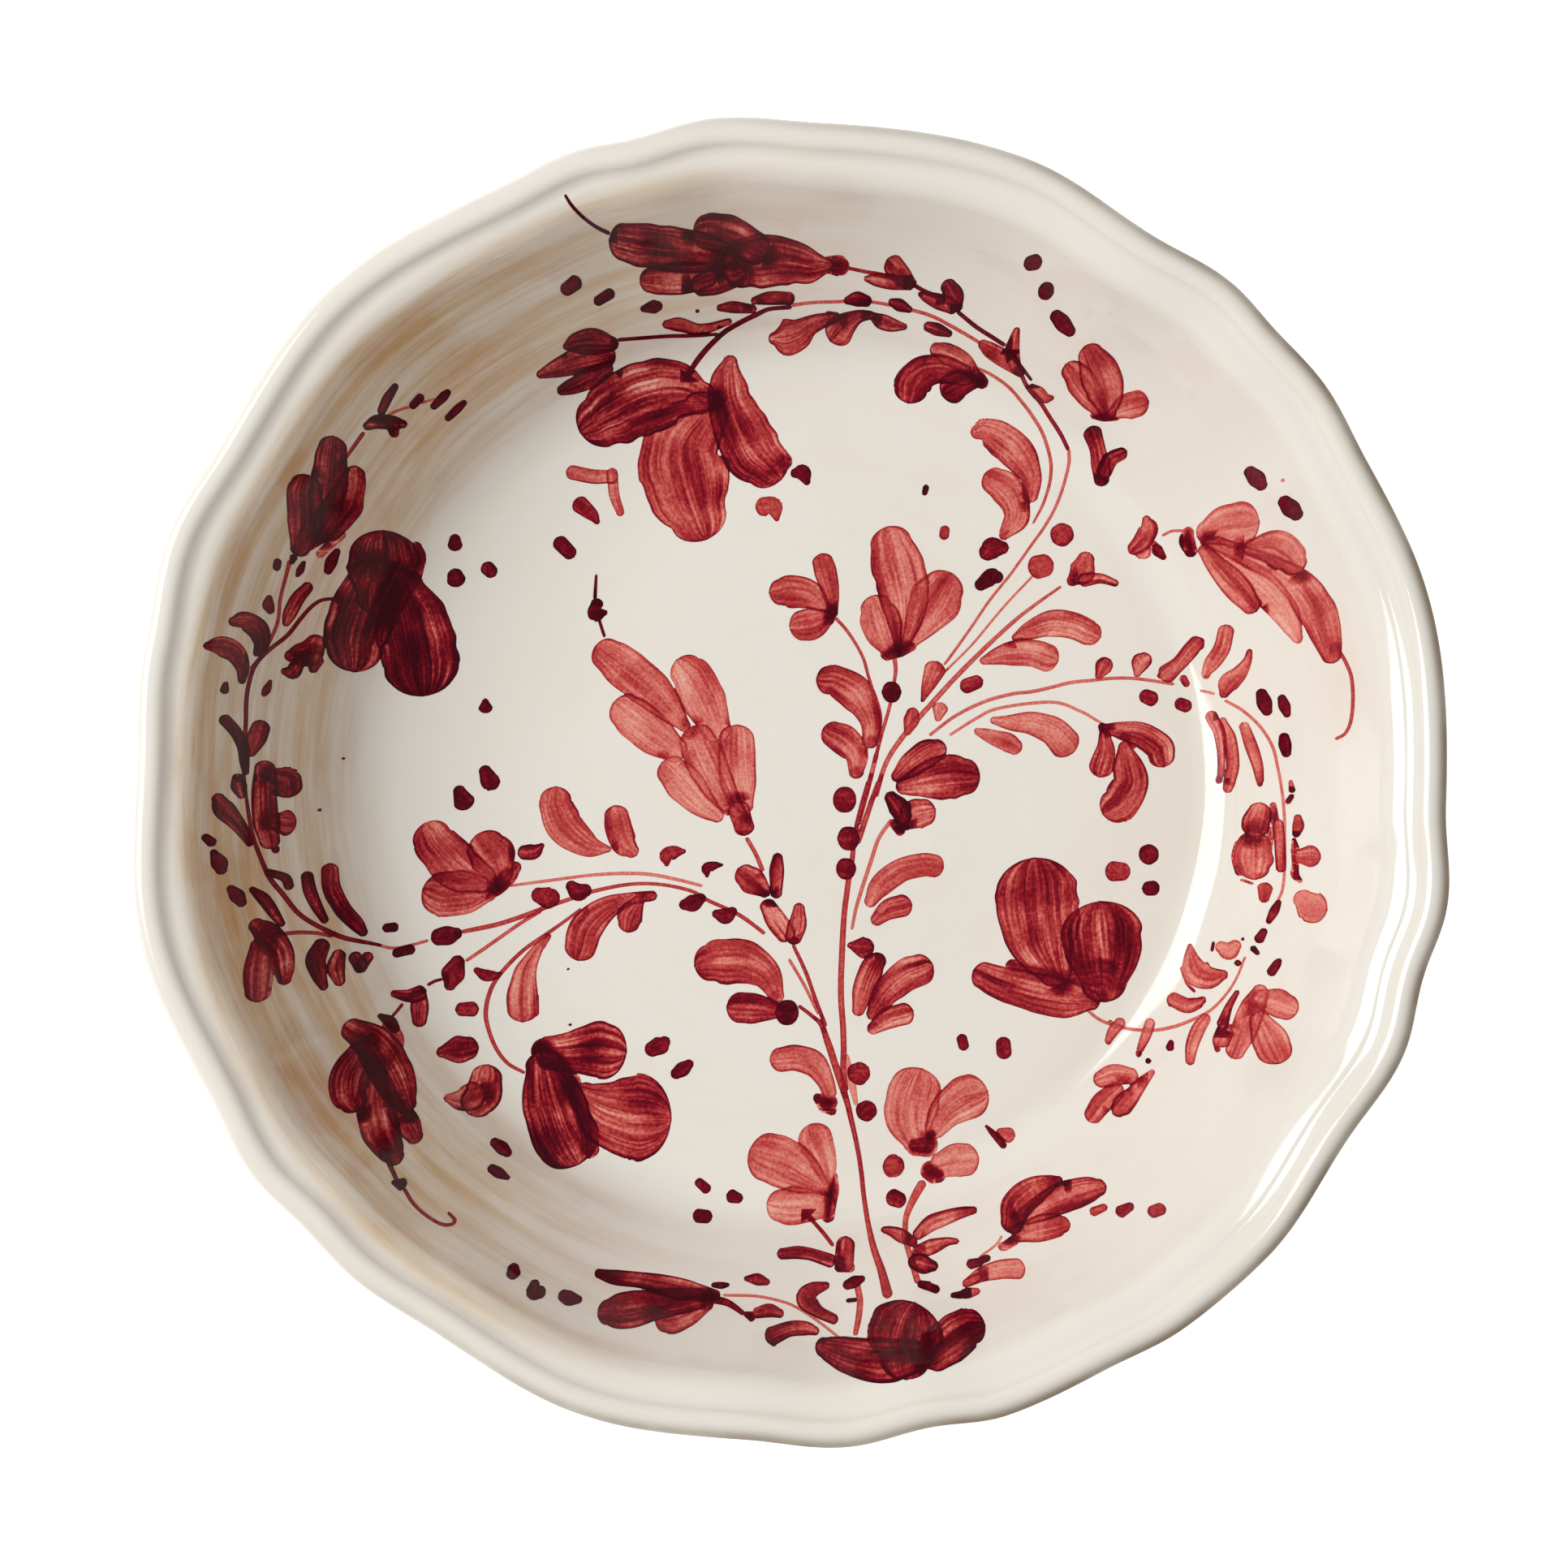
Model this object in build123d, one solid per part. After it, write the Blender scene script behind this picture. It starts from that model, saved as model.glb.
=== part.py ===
from build123d import *
import math
import os

# A glazed earthenware serving bowl: a thick clay body with a flat floor, steep walls, a narrow
# ledge and a rolled lip, an applied foot ring, and three glaze coats. The lip is waved by hand,
# and the wave fades out down the wall, so that the floor is round.
# Millimetres, +Z up, origin at the centre of the foot ring's base.

# Driving dimensions
BOWL_HEIGHT = 76.0
RIM_RADIUS = 160.0
FLOOR_RADIUS = 107.5
FLOOR_HEIGHT = 11.4
UNDERSIDE_HEIGHT = 6.0
GLAZE = 0.45

# Foot ring
FOOT_RADIUS = 85.0
FOOT_INNER_RADIUS = 75.5
FOOT_SHOULDER = 1.6
FOOT_EDGE = 1.3
GLAZE_LINE = 1.8

# Wave of the lip
WAVE_START_RADIUS = 104.0
WAVE_FULL_RADIUS = 152.0
WAVE_FADE = 1.5
RING_POINTS = 180
LONG_RUN = 12.0

# Lip outline, anticlockwise from +X: each crest and notch as (degrees, mm off the rim radius)
LIP_WAVE = (
    (17, 0.1), (29, -1.0), (37, 0.5), (43, -0.2), (48, 0.6), (57, -2.0), (69, 0.7), (87, -1.0),
    (97, 1.0), (104, -0.5), (109, 0.7), (116, -0.5), (133, 2.5), (149, -0.5), (158, 1.3),
    (168, -1.0), (178, -2.5), (194, 1.0), (208, -1.2), (216, 0.3), (223, -1.5), (228, -1.0),
    (237, -2.5), (252, 0.2), (266, -1.5), (275, 0.5), (282, -1.2), (289, 1.0), (298, 0.4),
    (306, 2.0), (315, 2.0), (327, -0.7), (336, 1.6), (343, -0.5), (349, 1.0), (358, -2.0),
)

# Cross-section of the glazed bowl as corners (radius, height) with a round at each corner
CREST = (156.8, BOWL_HEIGHT)
INSIDE_CORNERS = (
    (FLOOR_RADIUS - 20.0, FLOOR_HEIGHT),
    (FLOOR_RADIUS, FLOOR_HEIGHT),
    (131.0, 43.0),
    (145.9, 71.2),
    (152.2, 72.6),
    (154.6, BOWL_HEIGHT),
    CREST,
)
INSIDE_ROUNDS = (18.0, 140.0, 9.0, 5.0, 3.8)
OUTSIDE_CORNERS = (
    CREST,
    (RIM_RADIUS, BOWL_HEIGHT),
    (RIM_RADIUS, 69.2),
    (150.5, 65.8),
    (137.4, 41.0),
    (113.4, UNDERSIDE_HEIGHT),
    (FOOT_RADIUS + FOOT_SHOULDER, UNDERSIDE_HEIGHT),
    (FOOT_RADIUS, UNDERSIDE_HEIGHT - FOOT_SHOULDER),
    (FOOT_RADIUS, GLAZE_LINE),
)
OUTSIDE_ROUNDS = (2.7, 2.3, 5.0, 140.0, 24.0, 0.0, 0.0)
CLAY_BASE_HEIGHT = UNDERSIDE_HEIGHT + GLAZE


def lip_offset(angle):
    """How far the lip stands off the rim radius, eased between each crest and notch."""
    for (start, low), (end, high) in zip(LIP_WAVE, LIP_WAVE[1:] + LIP_WAVE[:1]):
        span = (end - start) % 360.0
        along = (angle - start) % 360.0
        if along <= span:
            ease = (1.0 - math.cos(math.pi * along / span)) / 2.0
            return low + (high - low) * ease


def ring(radius, height):
    """A closed curve round the bowl that follows the lip's wave more the nearer it is to the lip."""
    share = (radius - WAVE_START_RADIUS) / (WAVE_FULL_RADIUS - WAVE_START_RADIUS)
    share = min(max(share, 0.0), 1.0) ** WAVE_FADE
    points = []
    for index in range(RING_POINTS):
        angle = index * 360.0 / RING_POINTS
        reach = radius + share * lip_offset(angle)
        turn = math.radians(angle)
        points.append((reach * math.cos(turn), reach * math.sin(turn), height))
    knots = [index / RING_POINTS for index in range(RING_POINTS + 1)]
    return Wire([Edge.make_spline(points, periodic=True, parameters=knots)])


def sunk(corners, rounds, depth):
    """A section moved by depth into the clay, which lies on the right of the path."""
    points = [Vector(*corner) for corner in corners]
    ways = [(end - start).normalized() for start, end in zip(points, points[1:])]
    sides = [Vector(way.Y, -way.X) for way in ways]
    moved = [points[0] + sides[0] * depth]
    radii = []
    for index, radius in enumerate(rounds):
        before, after = sides[index], sides[index + 1]
        moved.append(points[index + 1] + (before + after) * (depth / (1.0 + before.dot(after))))
        turns_left = ways[index].cross(ways[index + 1]).Z > 0.0
        radii.append(radius and radius + (depth if turns_left else -depth))
    moved.append(points[-1] + sides[-1] * depth)
    return moved, radii


def cross_section(corners, rounds, depth):
    """Stations (radius, height) for each line and arc of a section, sunk by depth."""
    points, radii = sunk(corners, rounds, depth)
    path = Wire(FilletPolyline(*points, radius=radii).edges())
    runs = []
    for edge in path.order_edges():
        arc = edge.geom_type != GeomType.LINE
        steps = 4 if arc or edge.length > LONG_RUN else 1
        places = [edge @ (index / steps) for index in range(steps + 1)]
        runs.append([(place.X, place.Y) for place in places])
    return runs


def skin(runs):
    """Faces that follow each run of stations all the way round the bowl."""
    faces = []
    for run in runs:
        rings = [ring(radius, height) for radius, height in run]
        faces += Shell.make_loft(rings, ruled=len(rings) == 2).faces()
    return faces


def cap(station):
    """A flat disc that closes the section at a station."""
    return Face(ring(*station))


def band(inner, outer):
    """A narrow strip that joins two stations."""
    return Shell.make_loft([ring(*inner), ring(*outer)], ruled=True).faces()


def closed(faces):
    """One solid from faces that meet edge to edge."""
    return Solid(Shell(faces))


def section_runs(depth):
    """The inside section and the outside section at one depth under the glaze."""
    inside = cross_section(INSIDE_CORNERS, INSIDE_ROUNDS, depth)
    outside = cross_section(OUTSIDE_CORNERS, OUTSIDE_ROUNDS, depth)
    return inside, outside


def make_clay_body():
    """Floor, walls, ledge and lip, flat underneath where the foot ring is luted on."""
    inside, outside = section_runs(GLAZE)
    outside = outside[:-2]
    faces = skin(inside) + skin(outside)
    faces += [cap(inside[0][0]), cap(outside[-1][-1])]
    return closed(faces)


def make_inner_glaze():
    """The glaze from the floor to the crest of the lip."""
    surface = section_runs(0.0)[0]
    clay = section_runs(GLAZE)[0]
    faces = skin(surface) + skin(clay) + band(surface[-1][-1], clay[-1][-1])
    faces += [cap(surface[0][0]), cap(clay[0][0])]
    return closed(faces)


def make_outer_glaze():
    """The glaze from the crest of the lip down to the wiped line on the foot ring."""
    surface = section_runs(0.0)[1]
    clay = section_runs(GLAZE)[1]
    faces = skin(surface) + skin(clay)
    faces += band(surface[0][0], clay[0][0]) + band(surface[-1][-1], clay[-1][-1])
    return closed(faces)


def foot_outline():
    """Corners of the foot ring's clay, from the top inside edge round by the base."""
    outer = FOOT_RADIUS - GLAZE
    inner = FOOT_INNER_RADIUS + GLAZE
    shoulder, side_top = sunk(OUTSIDE_CORNERS, OUTSIDE_ROUNDS, GLAZE)[0][-3:-1]
    mitre = GLAZE * math.tan(math.radians(22.5))
    return (
        (FOOT_INNER_RADIUS - FOOT_SHOULDER + mitre, CLAY_BASE_HEIGHT),
        (inner, UNDERSIDE_HEIGHT - FOOT_SHOULDER + mitre),
        (inner, FOOT_EDGE),
        (inner + FOOT_EDGE, 0.0),
        (outer - FOOT_EDGE, 0.0),
        (outer, FOOT_EDGE),
        (side_top.X, side_top.Y),
        (shoulder.X, shoulder.Y),
    )


def turned(corners):
    """A solid of revolution from its half section."""
    outline = Polyline(*[(radius, 0.0, height) for radius, height in corners], close=True)
    return revolve(Face(Wire(outline.edges())), Axis.Z)


def make_foot_ring():
    """The ring that the bowl stands on, with a bare, rounded base."""
    return turned(foot_outline())


def make_foot_well_glaze():
    """The pool of glaze under the floor, inside the foot ring."""
    top_inside, side_inside = foot_outline()[:2]
    return turned((
        (0.0, CLAY_BASE_HEIGHT),
        (0.0, UNDERSIDE_HEIGHT),
        (FOOT_INNER_RADIUS - FOOT_SHOULDER, UNDERSIDE_HEIGHT),
        (FOOT_INNER_RADIUS, UNDERSIDE_HEIGHT - FOOT_SHOULDER),
        (FOOT_INNER_RADIUS, GLAZE_LINE),
        (side_inside[0], GLAZE_LINE),
        side_inside,
        top_inside,
    ))


os.makedirs("parts", exist_ok=True)
export_step(make_clay_body(), "parts/clay_body.step")
export_step(make_foot_ring(), "parts/foot_ring.step")
export_step(make_inner_glaze(), "parts/inner_glaze.step")
export_step(make_outer_glaze(), "parts/outer_glaze.step")
export_step(make_foot_well_glaze(), "parts/foot_well_glaze.step")
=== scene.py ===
import math

import bpy
import mathutils
import numpy as np
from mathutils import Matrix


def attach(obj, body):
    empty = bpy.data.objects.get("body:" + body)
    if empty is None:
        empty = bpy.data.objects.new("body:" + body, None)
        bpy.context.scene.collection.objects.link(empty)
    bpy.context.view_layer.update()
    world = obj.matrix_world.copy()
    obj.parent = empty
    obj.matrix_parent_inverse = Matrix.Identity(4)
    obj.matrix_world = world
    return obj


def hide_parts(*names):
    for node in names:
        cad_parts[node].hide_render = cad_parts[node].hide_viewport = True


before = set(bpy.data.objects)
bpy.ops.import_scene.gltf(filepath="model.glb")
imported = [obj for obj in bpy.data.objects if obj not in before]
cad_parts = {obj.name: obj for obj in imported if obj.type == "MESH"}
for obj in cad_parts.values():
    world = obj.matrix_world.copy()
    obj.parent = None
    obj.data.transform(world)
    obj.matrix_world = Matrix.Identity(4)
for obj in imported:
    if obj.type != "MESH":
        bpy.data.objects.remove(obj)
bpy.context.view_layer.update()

# The looks of a glazed, hand-painted serving bowl. Lengths are in millimetres until a mesh is
# made, in the frame of the CAD model: +Z up, origin at the centre of the foot ring's base.
MM = 0.001

# ---------------------------------------------------------------- the bowl's shape

BOWL_HEIGHT = 76.0
RIM_RADIUS = 160.0
FLOOR_HEIGHT = 11.4
UNDERSIDE_HEIGHT = 6.0
GLAZE = 0.45
FOOT_RADIUS = 85.0
FOOT_INNER_RADIUS = 75.5
GLAZE_LINE = 1.8
WAVE_START_RADIUS = 104.0
WAVE_FULL_RADIUS = 152.0
WAVE_FADE = 1.5
TURNS = 480

# How often the radius under a place is worked out again, as the wave moves it
WAVE_ROUNDS = 6

# How far apart a section's points are, coarse for the side under a skin, and an arc's fewest steps
FINE_STEP = 0.5
CREST_STEP = 1.0
SKIN_STEP = 1.3
UNDER_STEP = 3.0
ARC_POINTS = 6

# Each crest and notch of the lip, anticlockwise from +X: (degrees, mm off the rim radius)
LIP_WAVE = np.array((
    (17, 0.1), (29, -1.0), (37, 0.5), (43, -0.2), (48, 0.6), (57, -2.0), (69, 0.7), (87, -1.0),
    (97, 1.0), (104, -0.5), (109, 0.7), (116, -0.5), (133, 2.5), (149, -0.5), (158, 1.3),
    (168, -1.0), (178, -2.5), (194, 1.0), (208, -1.2), (216, 0.3), (223, -1.5), (228, -1.0),
    (237, -2.5), (252, 0.2), (266, -1.5), (275, 0.5), (282, -1.2), (289, 1.0), (298, 0.4),
    (306, 2.0), (315, 2.0), (327, -0.7), (336, 1.6), (343, -0.5), (349, 1.0), (358, -2.0),
))

# The glazed section as corners (radius, height, round)
INSIDE = (
    (0.0, FLOOR_HEIGHT, 0.0), (107.5, FLOOR_HEIGHT, 18.0), (131.0, 43.0, 140.0),
    (145.9, 71.2, 9.0), (152.2, 72.6, 5.0), (154.6, BOWL_HEIGHT, 3.8), (156.8, BOWL_HEIGHT, 0.0),
)
OUTSIDE = (
    (156.8, BOWL_HEIGHT, 0.0), (RIM_RADIUS, BOWL_HEIGHT, 2.7), (RIM_RADIUS, 69.2, 2.3),
    (150.5, 65.8, 5.0), (137.4, 41.0, 140.0), (113.4, UNDERSIDE_HEIGHT, 24.0),
    (FOOT_RADIUS, UNDERSIDE_HEIGHT, 1.5), (FOOT_RADIUS, GLAZE_LINE, 0.0),
)
WELL = (
    (0.0, UNDERSIDE_HEIGHT, 0.0), (FOOT_INNER_RADIUS, UNDERSIDE_HEIGHT, 1.5),
    (FOOT_INNER_RADIUS, GLAZE_LINE, 0.0),
)


def rounded(corners, step):
    """A section's points, about step apart, with each corner turned into an arc."""
    corners = np.array(corners, float)
    places, rounds = corners[:, :2], corners[:, 2]
    points = [places[0]]
    for before, corner, after, radius in zip(places, places[1:], places[2:], rounds[1:]):
        inward = (before - corner) / np.linalg.norm(before - corner)
        outward = (after - corner) / np.linalg.norm(after - corner)
        half = math.acos(np.clip(inward @ outward, -1.0, 1.0)) / 2.0
        reach = radius / math.tan(half)
        start, end = corner + inward * reach, corner + outward * reach
        bisector = (inward + outward) / np.linalg.norm(inward + outward)
        middle = corner + bisector * radius / math.sin(half)
        sweep = math.pi - 2.0 * half
        count = max(int(radius * sweep / step), ARC_POINTS)
        for share in np.linspace(0.0, 1.0, count + 1):
            blend = (math.sin((1.0 - share) * sweep) * (start - middle)
                     + math.sin(share * sweep) * (end - middle)) / math.sin(sweep)
            points.append(middle + blend)
    points.append(places[-1])
    return filled(np.array(points), step)


def filled(points, step):
    """The same line with more points where two are further than step apart."""
    out = [points[:1]]
    for start, end in zip(points, points[1:]):
        count = max(int(math.ceil(np.linalg.norm(end - start) / step)), 1)
        shares = np.arange(1, count + 1)[:, None] / count
        out.append(start + (end - start) * shares)
    return np.concatenate(out)


def wave(angle):
    """How far the lip stands off the rim radius at each angle in radians."""
    degrees = np.degrees(angle) % 360.0
    stops = np.concatenate([LIP_WAVE[-1:] - (360.0, 0.0), LIP_WAVE, LIP_WAVE[:1] + (360.0, 0.0)])
    place = np.clip(np.searchsorted(stops[:, 0], degrees) - 1, 0, len(stops) - 2)
    start, end = stops[place], stops[place + 1]
    along = (degrees - start[..., 0]) / (end[..., 0] - start[..., 0])
    ease = (1.0 - np.cos(np.pi * along)) / 2.0
    return start[..., 1] + (end[..., 1] - start[..., 1]) * ease


def wave_share(radius):
    """How much of the lip's wave a place at this radius takes."""
    share = (radius - WAVE_START_RADIUS) / (WAVE_FULL_RADIUS - WAVE_START_RADIUS)
    return np.clip(share, 0.0, 1.0) ** WAVE_FADE


INSIDE_LINE = rounded(INSIDE, FINE_STEP)


def inside_height(x, y):
    """The height of the inside glaze over each place (x, y) within the ledge."""
    reach, angle = np.hypot(x, y), np.arctan2(y, x)
    radius = reach
    for _ in range(WAVE_ROUNDS):
        radius = reach - wave_share(radius) * wave(angle)
    return np.interp(radius, INSIDE_LINE[:, 0], INSIDE_LINE[:, 1])


# ---------------------------------------------------------------- meshes


def make_mesh(name, verts, faces, material):
    """A smooth piece on the bowl's one body, from vertices in millimetres."""
    mesh = bpy.data.meshes.new(name)
    mesh.vertices.add(len(verts))
    mesh.vertices.foreach_set("co", (np.asarray(verts) * MM).astype(np.float32).ravel())
    size = faces.shape[1]
    mesh.loops.add(faces.size)
    mesh.loops.foreach_set("vertex_index", faces.astype(np.int32).ravel())
    mesh.polygons.add(len(faces))
    mesh.polygons.foreach_set("loop_start", np.arange(0, faces.size, size, dtype=np.int32))
    mesh.update(calc_edges=True)
    mesh.validate()
    mesh.shade_smooth()
    mesh.materials.append(material)
    piece = bpy.data.objects.new(name, mesh)
    bpy.context.scene.collection.objects.link(piece)
    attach(piece, "root")
    return piece


def turned_verts(line):
    """Vertices of a closed section line turned round the axis, with the lip's wave."""
    angles = np.arange(TURNS) * 2.0 * np.pi / TURNS
    reach = line[:, :1] + wave_share(line[:, :1]) * wave(angles)[None, :]
    height = np.repeat(line[:, 1:], TURNS, axis=1)
    places = [reach * np.cos(angles), reach * np.sin(angles), height]
    return np.stack(places, axis=-1).reshape(-1, 3)


def ring_faces(rows, closed):
    """Quads between each row of vertices and the next."""
    row = np.arange(rows if closed else rows - 1)[:, None]
    turn = np.arange(TURNS)[None, :]
    here, there = row * TURNS, ((row + 1) % rows) * TURNS
    ahead = (turn + 1) % TURNS
    corners = [here + turn, here + ahead, there + ahead, there + turn]
    corners = [np.broadcast_to(corner, (len(row), TURNS)) for corner in corners]
    return np.stack(corners, axis=-1).reshape(-1, 4)


def offset_line(line, depth):
    """A section line moved by depth into the clay, which lies on its right."""
    along = np.gradient(line, axis=0)
    along /= np.linalg.norm(along, axis=1)[:, None]
    return line + depth * np.stack([along[:, 1], -along[:, 0]], axis=1)


def set_values(piece, name, values):
    """A number at each vertex of a piece, for its material to read."""
    attribute = piece.data.attributes.new(name, "FLOAT", "POINT")
    attribute.data.foreach_set("value", values.astype(np.float32))


# ---------------------------------------------------------------- materials

CREAM = (0.79, 0.755, 0.69)
CREAM_WARM = (0.74, 0.675, 0.56)
TAN_BANDS_AND_SHADE = (0.53, 0.325, 0.135)
THIN_GLAZE_AND_SHADE_TAN = (0.24, 0.17, 0.105)
SPECK = (0.16, 0.09, 0.05)
CLAY = (0.50, 0.31, 0.19)
CLAY_DARK = (0.42, 0.25, 0.15)
GRIT = (0.66, 0.50, 0.36)

# The side of the wall away from the light, that carries the tan bands: brushed streaks and painted shade
SHADED_TAN_SIDE = math.radians(170.0)

GLASS_IOR = 1.5
GLOSS = (0.07, 0.13)
THIN_ROUGHNESS = 0.6
PAINT_SPECULAR = 0.09
CLAY_ROUGHNESS = 0.85

# In metres: where the tan bands of brushed streaks and painted shade start and end on the wall, and the
# heights of the surface's unevenness
BANDS_START = (0.098, 0.126)
BANDS_END = (0.153, 0.145)
SWELL_HEIGHT = 0.00060
RING_HEIGHT = 0.00008
PEEL_HEIGHT = 0.000004
GRIT_HEIGHT = 0.0002
UNROLLED_SCALE = 70.0

# Pigment thickness as a share of PIGMENT_FULL, and the colour that it gives
PIGMENT_FULL = 3.0
PIGMENT_COLOURS = (
    (0.0, (0.76, 0.43, 0.35)),
    (0.11, (0.72, 0.27, 0.21)),
    (0.21, (0.62, 0.150, 0.125)),
    (0.33, (0.47, 0.052, 0.048)),
    (0.50, (0.27, 0.009, 0.019)),
    (0.63, (0.15, 0.003, 0.010)),
    (0.80, (0.085, 0.001, 0.008)),
    (1.0, (0.045, 0.001, 0.006)),
)


class Nodes:
    """A material's shader, with short ways to add nodes and to join them."""

    def __init__(self, name):
        self.material = bpy.data.materials.new(name)
        self.material.use_nodes = True
        self.tree = self.material.node_tree
        self.shader = self.tree.nodes["Principled BSDF"]

    def add(self, kind, **values):
        """A new node with the given settings."""
        node = self.tree.nodes.new(kind)
        for key, value in values.items():
            setattr(node, key, value)
        return node

    def join(self, start, end):
        self.tree.links.new(start, end)

    def feed(self, socket, value):
        """Sets a socket to a number or a colour, or joins another socket to it."""
        if isinstance(value, (int, float)):
            socket.default_value = value
        elif isinstance(value, tuple):
            socket.default_value = (*value, 1.0)
        else:
            self.join(value, socket)

    def attribute(self, name):
        """A number that the mesh carries at its vertices."""
        return self.add("ShaderNodeAttribute", attribute_name=name).outputs["Fac"]

    def noise(self, place, scale, detail=3.0, roughness=0.5):
        """A noise texture's value at a place."""
        node = self.add("ShaderNodeTexNoise")
        node.inputs["Scale"].default_value = scale
        node.inputs["Detail"].default_value = detail
        node.inputs["Roughness"].default_value = roughness
        self.join(place, node.inputs["Vector"])
        return node.outputs["Fac"]

    def ranged(self, value, low, high, to_low=0.0, to_high=1.0):
        """A value mapped smoothly from one range to another."""
        node = self.add("ShaderNodeMapRange", interpolation_type="SMOOTHSTEP")
        limits = {"From Min": low, "From Max": high, "To Min": to_low, "To Max": to_high}
        for socket, number in limits.items():
            node.inputs[socket].default_value = number
        self.join(value, node.inputs["Value"])
        return node.outputs["Result"]

    def maths(self, operation, *values):
        """A Math node over sockets or numbers."""
        node = self.add("ShaderNodeMath", operation=operation)
        for socket, value in zip(node.inputs, values):
            self.feed(socket, value)
        return node.outputs[0]

    def times(self, first, second):
        return self.maths("MULTIPLY", first, second)

    def plus(self, first, second):
        return self.maths("ADD", first, second)

    def mixed(self, share, first, second):
        """Two colours mixed by a share."""
        node = self.add("ShaderNodeMix", data_type="RGBA")
        colour_a, colour_b = node.inputs[6], node.inputs[7]
        self.join(share, node.inputs["Factor"])
        self.feed(colour_a, first)
        self.feed(colour_b, second)
        return node.outputs[2]

    def bump(self, height, distance):
        """Raises the surface by a height, for the light only."""
        node = self.add("ShaderNodeBump")
        node.inputs["Strength"].default_value = 1.0
        node.inputs["Distance"].default_value = distance
        self.join(height, node.inputs["Height"])
        self.join(node.outputs[0], self.shader.inputs["Normal"])


def round_coordinates(nodes):
    """The place in metres, the same place unrolled for marks that run round the bowl, and its
    distance from the axis."""
    place = nodes.add("ShaderNodeTexCoord").outputs["Object"]
    split = nodes.add("ShaderNodeSeparateXYZ")
    nodes.join(place, split.inputs[0])
    x, y, z = split.outputs
    reach = nodes.maths("SQRT", nodes.plus(nodes.times(x, x), nodes.times(y, y)))
    unrolled = nodes.add("ShaderNodeCombineXYZ")
    # a direction on the unit circle has no seam where the angle starts again
    for axis, value in enumerate((x, y)):
        nodes.join(nodes.maths("DIVIDE", value, nodes.plus(reach, MM)), unrolled.inputs[axis])
    nodes.join(nodes.times(nodes.plus(reach, z), UNROLLED_SCALE), unrolled.inputs[2])
    return place, unrolled.outputs[0], reach


def glaze_surface(nodes, place, unrolled):
    """The gloss and the slight unevenness of a brushed, fired glaze. Gives its roughness."""
    swell = nodes.times(nodes.noise(place, 22.0, detail=1.0), SWELL_HEIGHT)
    rings = nodes.times(nodes.noise(unrolled, 1.6, detail=2.0), RING_HEIGHT)
    peel = nodes.times(nodes.noise(place, 700.0, detail=1.0), PEEL_HEIGHT)
    nodes.bump(nodes.plus(swell, nodes.plus(rings, peel)), 1.0)
    nodes.shader.inputs["IOR"].default_value = GLASS_IOR
    return nodes.ranged(nodes.noise(place, 120.0, detail=2.0), 0.3, 0.7, *GLOSS)


def towards(nodes, unrolled, angle):
    """How far a place lies towards one side of the bowl, from -1 to 1."""
    dot = nodes.add("ShaderNodeVectorMath", operation="DOT_PRODUCT")
    nodes.join(unrolled, dot.inputs[0])
    dot.inputs[1].default_value = (math.cos(angle), math.sin(angle), 0.0)
    return dot.outputs["Value"]


def tan_bands_and_painted_shade(nodes, place, unrolled, reach, streaks):
    """How much tan shows: bands on the shaded side of the inside wall, brushed streaks in the glaze and
    painted shade.
    """
    patches = nodes.noise(place, 34.0, detail=4.0, roughness=0.6)
    bands = nodes.plus(nodes.ranged(streaks, 0.34, 0.66, 0.32, 0.92),
                       nodes.ranged(patches, 0.40, 0.75, -0.08, 0.20))
    on_wall = nodes.times(nodes.ranged(reach, *BANDS_START), nodes.ranged(reach, *BANDS_END))
    # painted shade: the bands are strongest on the side of the wall away from the light
    side = nodes.ranged(towards(nodes, unrolled, SHADED_TAN_SIDE), -0.15, 0.80)
    side = nodes.times(side, nodes.attribute("brushed"))
    return nodes.times(bands, nodes.times(on_wall, side))


def specks(nodes, place):
    """Where the few small specks in the glaze are."""
    cells = nodes.add("ShaderNodeTexVoronoi")
    cells.inputs["Scale"].default_value = 75.0
    nodes.join(place, cells.inputs["Vector"])
    pick = nodes.add("ShaderNodeSeparateColor")
    nodes.join(cells.outputs["Color"], pick.inputs[0])
    return nodes.times(nodes.ranged(cells.outputs["Distance"], 0.045, 0.020),
                       nodes.ranged(pick.outputs[0], 0.955, 0.965))


def glaze_material(name):
    """Glossy cream glaze with faint clouds and specks, tan bands on the inside wall's shaded side that are
    brushed streaks and painted shade, and thin and tan at its edges, with painted shade on the lip's edge
    away from the light.
    """
    nodes = Nodes(name)
    place, unrolled, reach = round_coordinates(nodes)
    streaks = nodes.noise(unrolled, 1.5, detail=6.0, roughness=0.68)
    clouds = nodes.noise(place, 16.0)
    warm = nodes.plus(nodes.times(nodes.ranged(streaks, 0.45, 0.75), 0.25),
                      nodes.times(nodes.ranged(clouds, 0.45, 0.8), 0.30))
    colour = nodes.mixed(warm, CREAM, CREAM_WARM)
    # tan bands: brushed streaks in the glaze, and painted shade on the wall's shaded side
    colour = nodes.mixed(tan_bands_and_painted_shade(nodes, place, unrolled, reach, streaks), colour, TAN_BANDS_AND_SHADE)
    colour = nodes.mixed(specks(nodes, place), colour, SPECK)
    patches = nodes.ranged(nodes.noise(place, 55.0, detail=4.0), 0.30, 0.62, 0.70, 1.0)
    # thin glaze shows tan at the foot and lip; on the lip's edge away from the light it is painted shade too
    thin = nodes.times(nodes.attribute("thin"), patches)
    nodes.join(nodes.mixed(thin, colour, THIN_GLAZE_AND_SHADE_TAN), nodes.shader.inputs["Base Color"])
    roughness = glaze_surface(nodes, place, unrolled)
    roughness = nodes.plus(roughness, nodes.times(thin, THIN_ROUGHNESS))
    nodes.join(roughness, nodes.shader.inputs["Roughness"])
    return nodes.material


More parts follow.
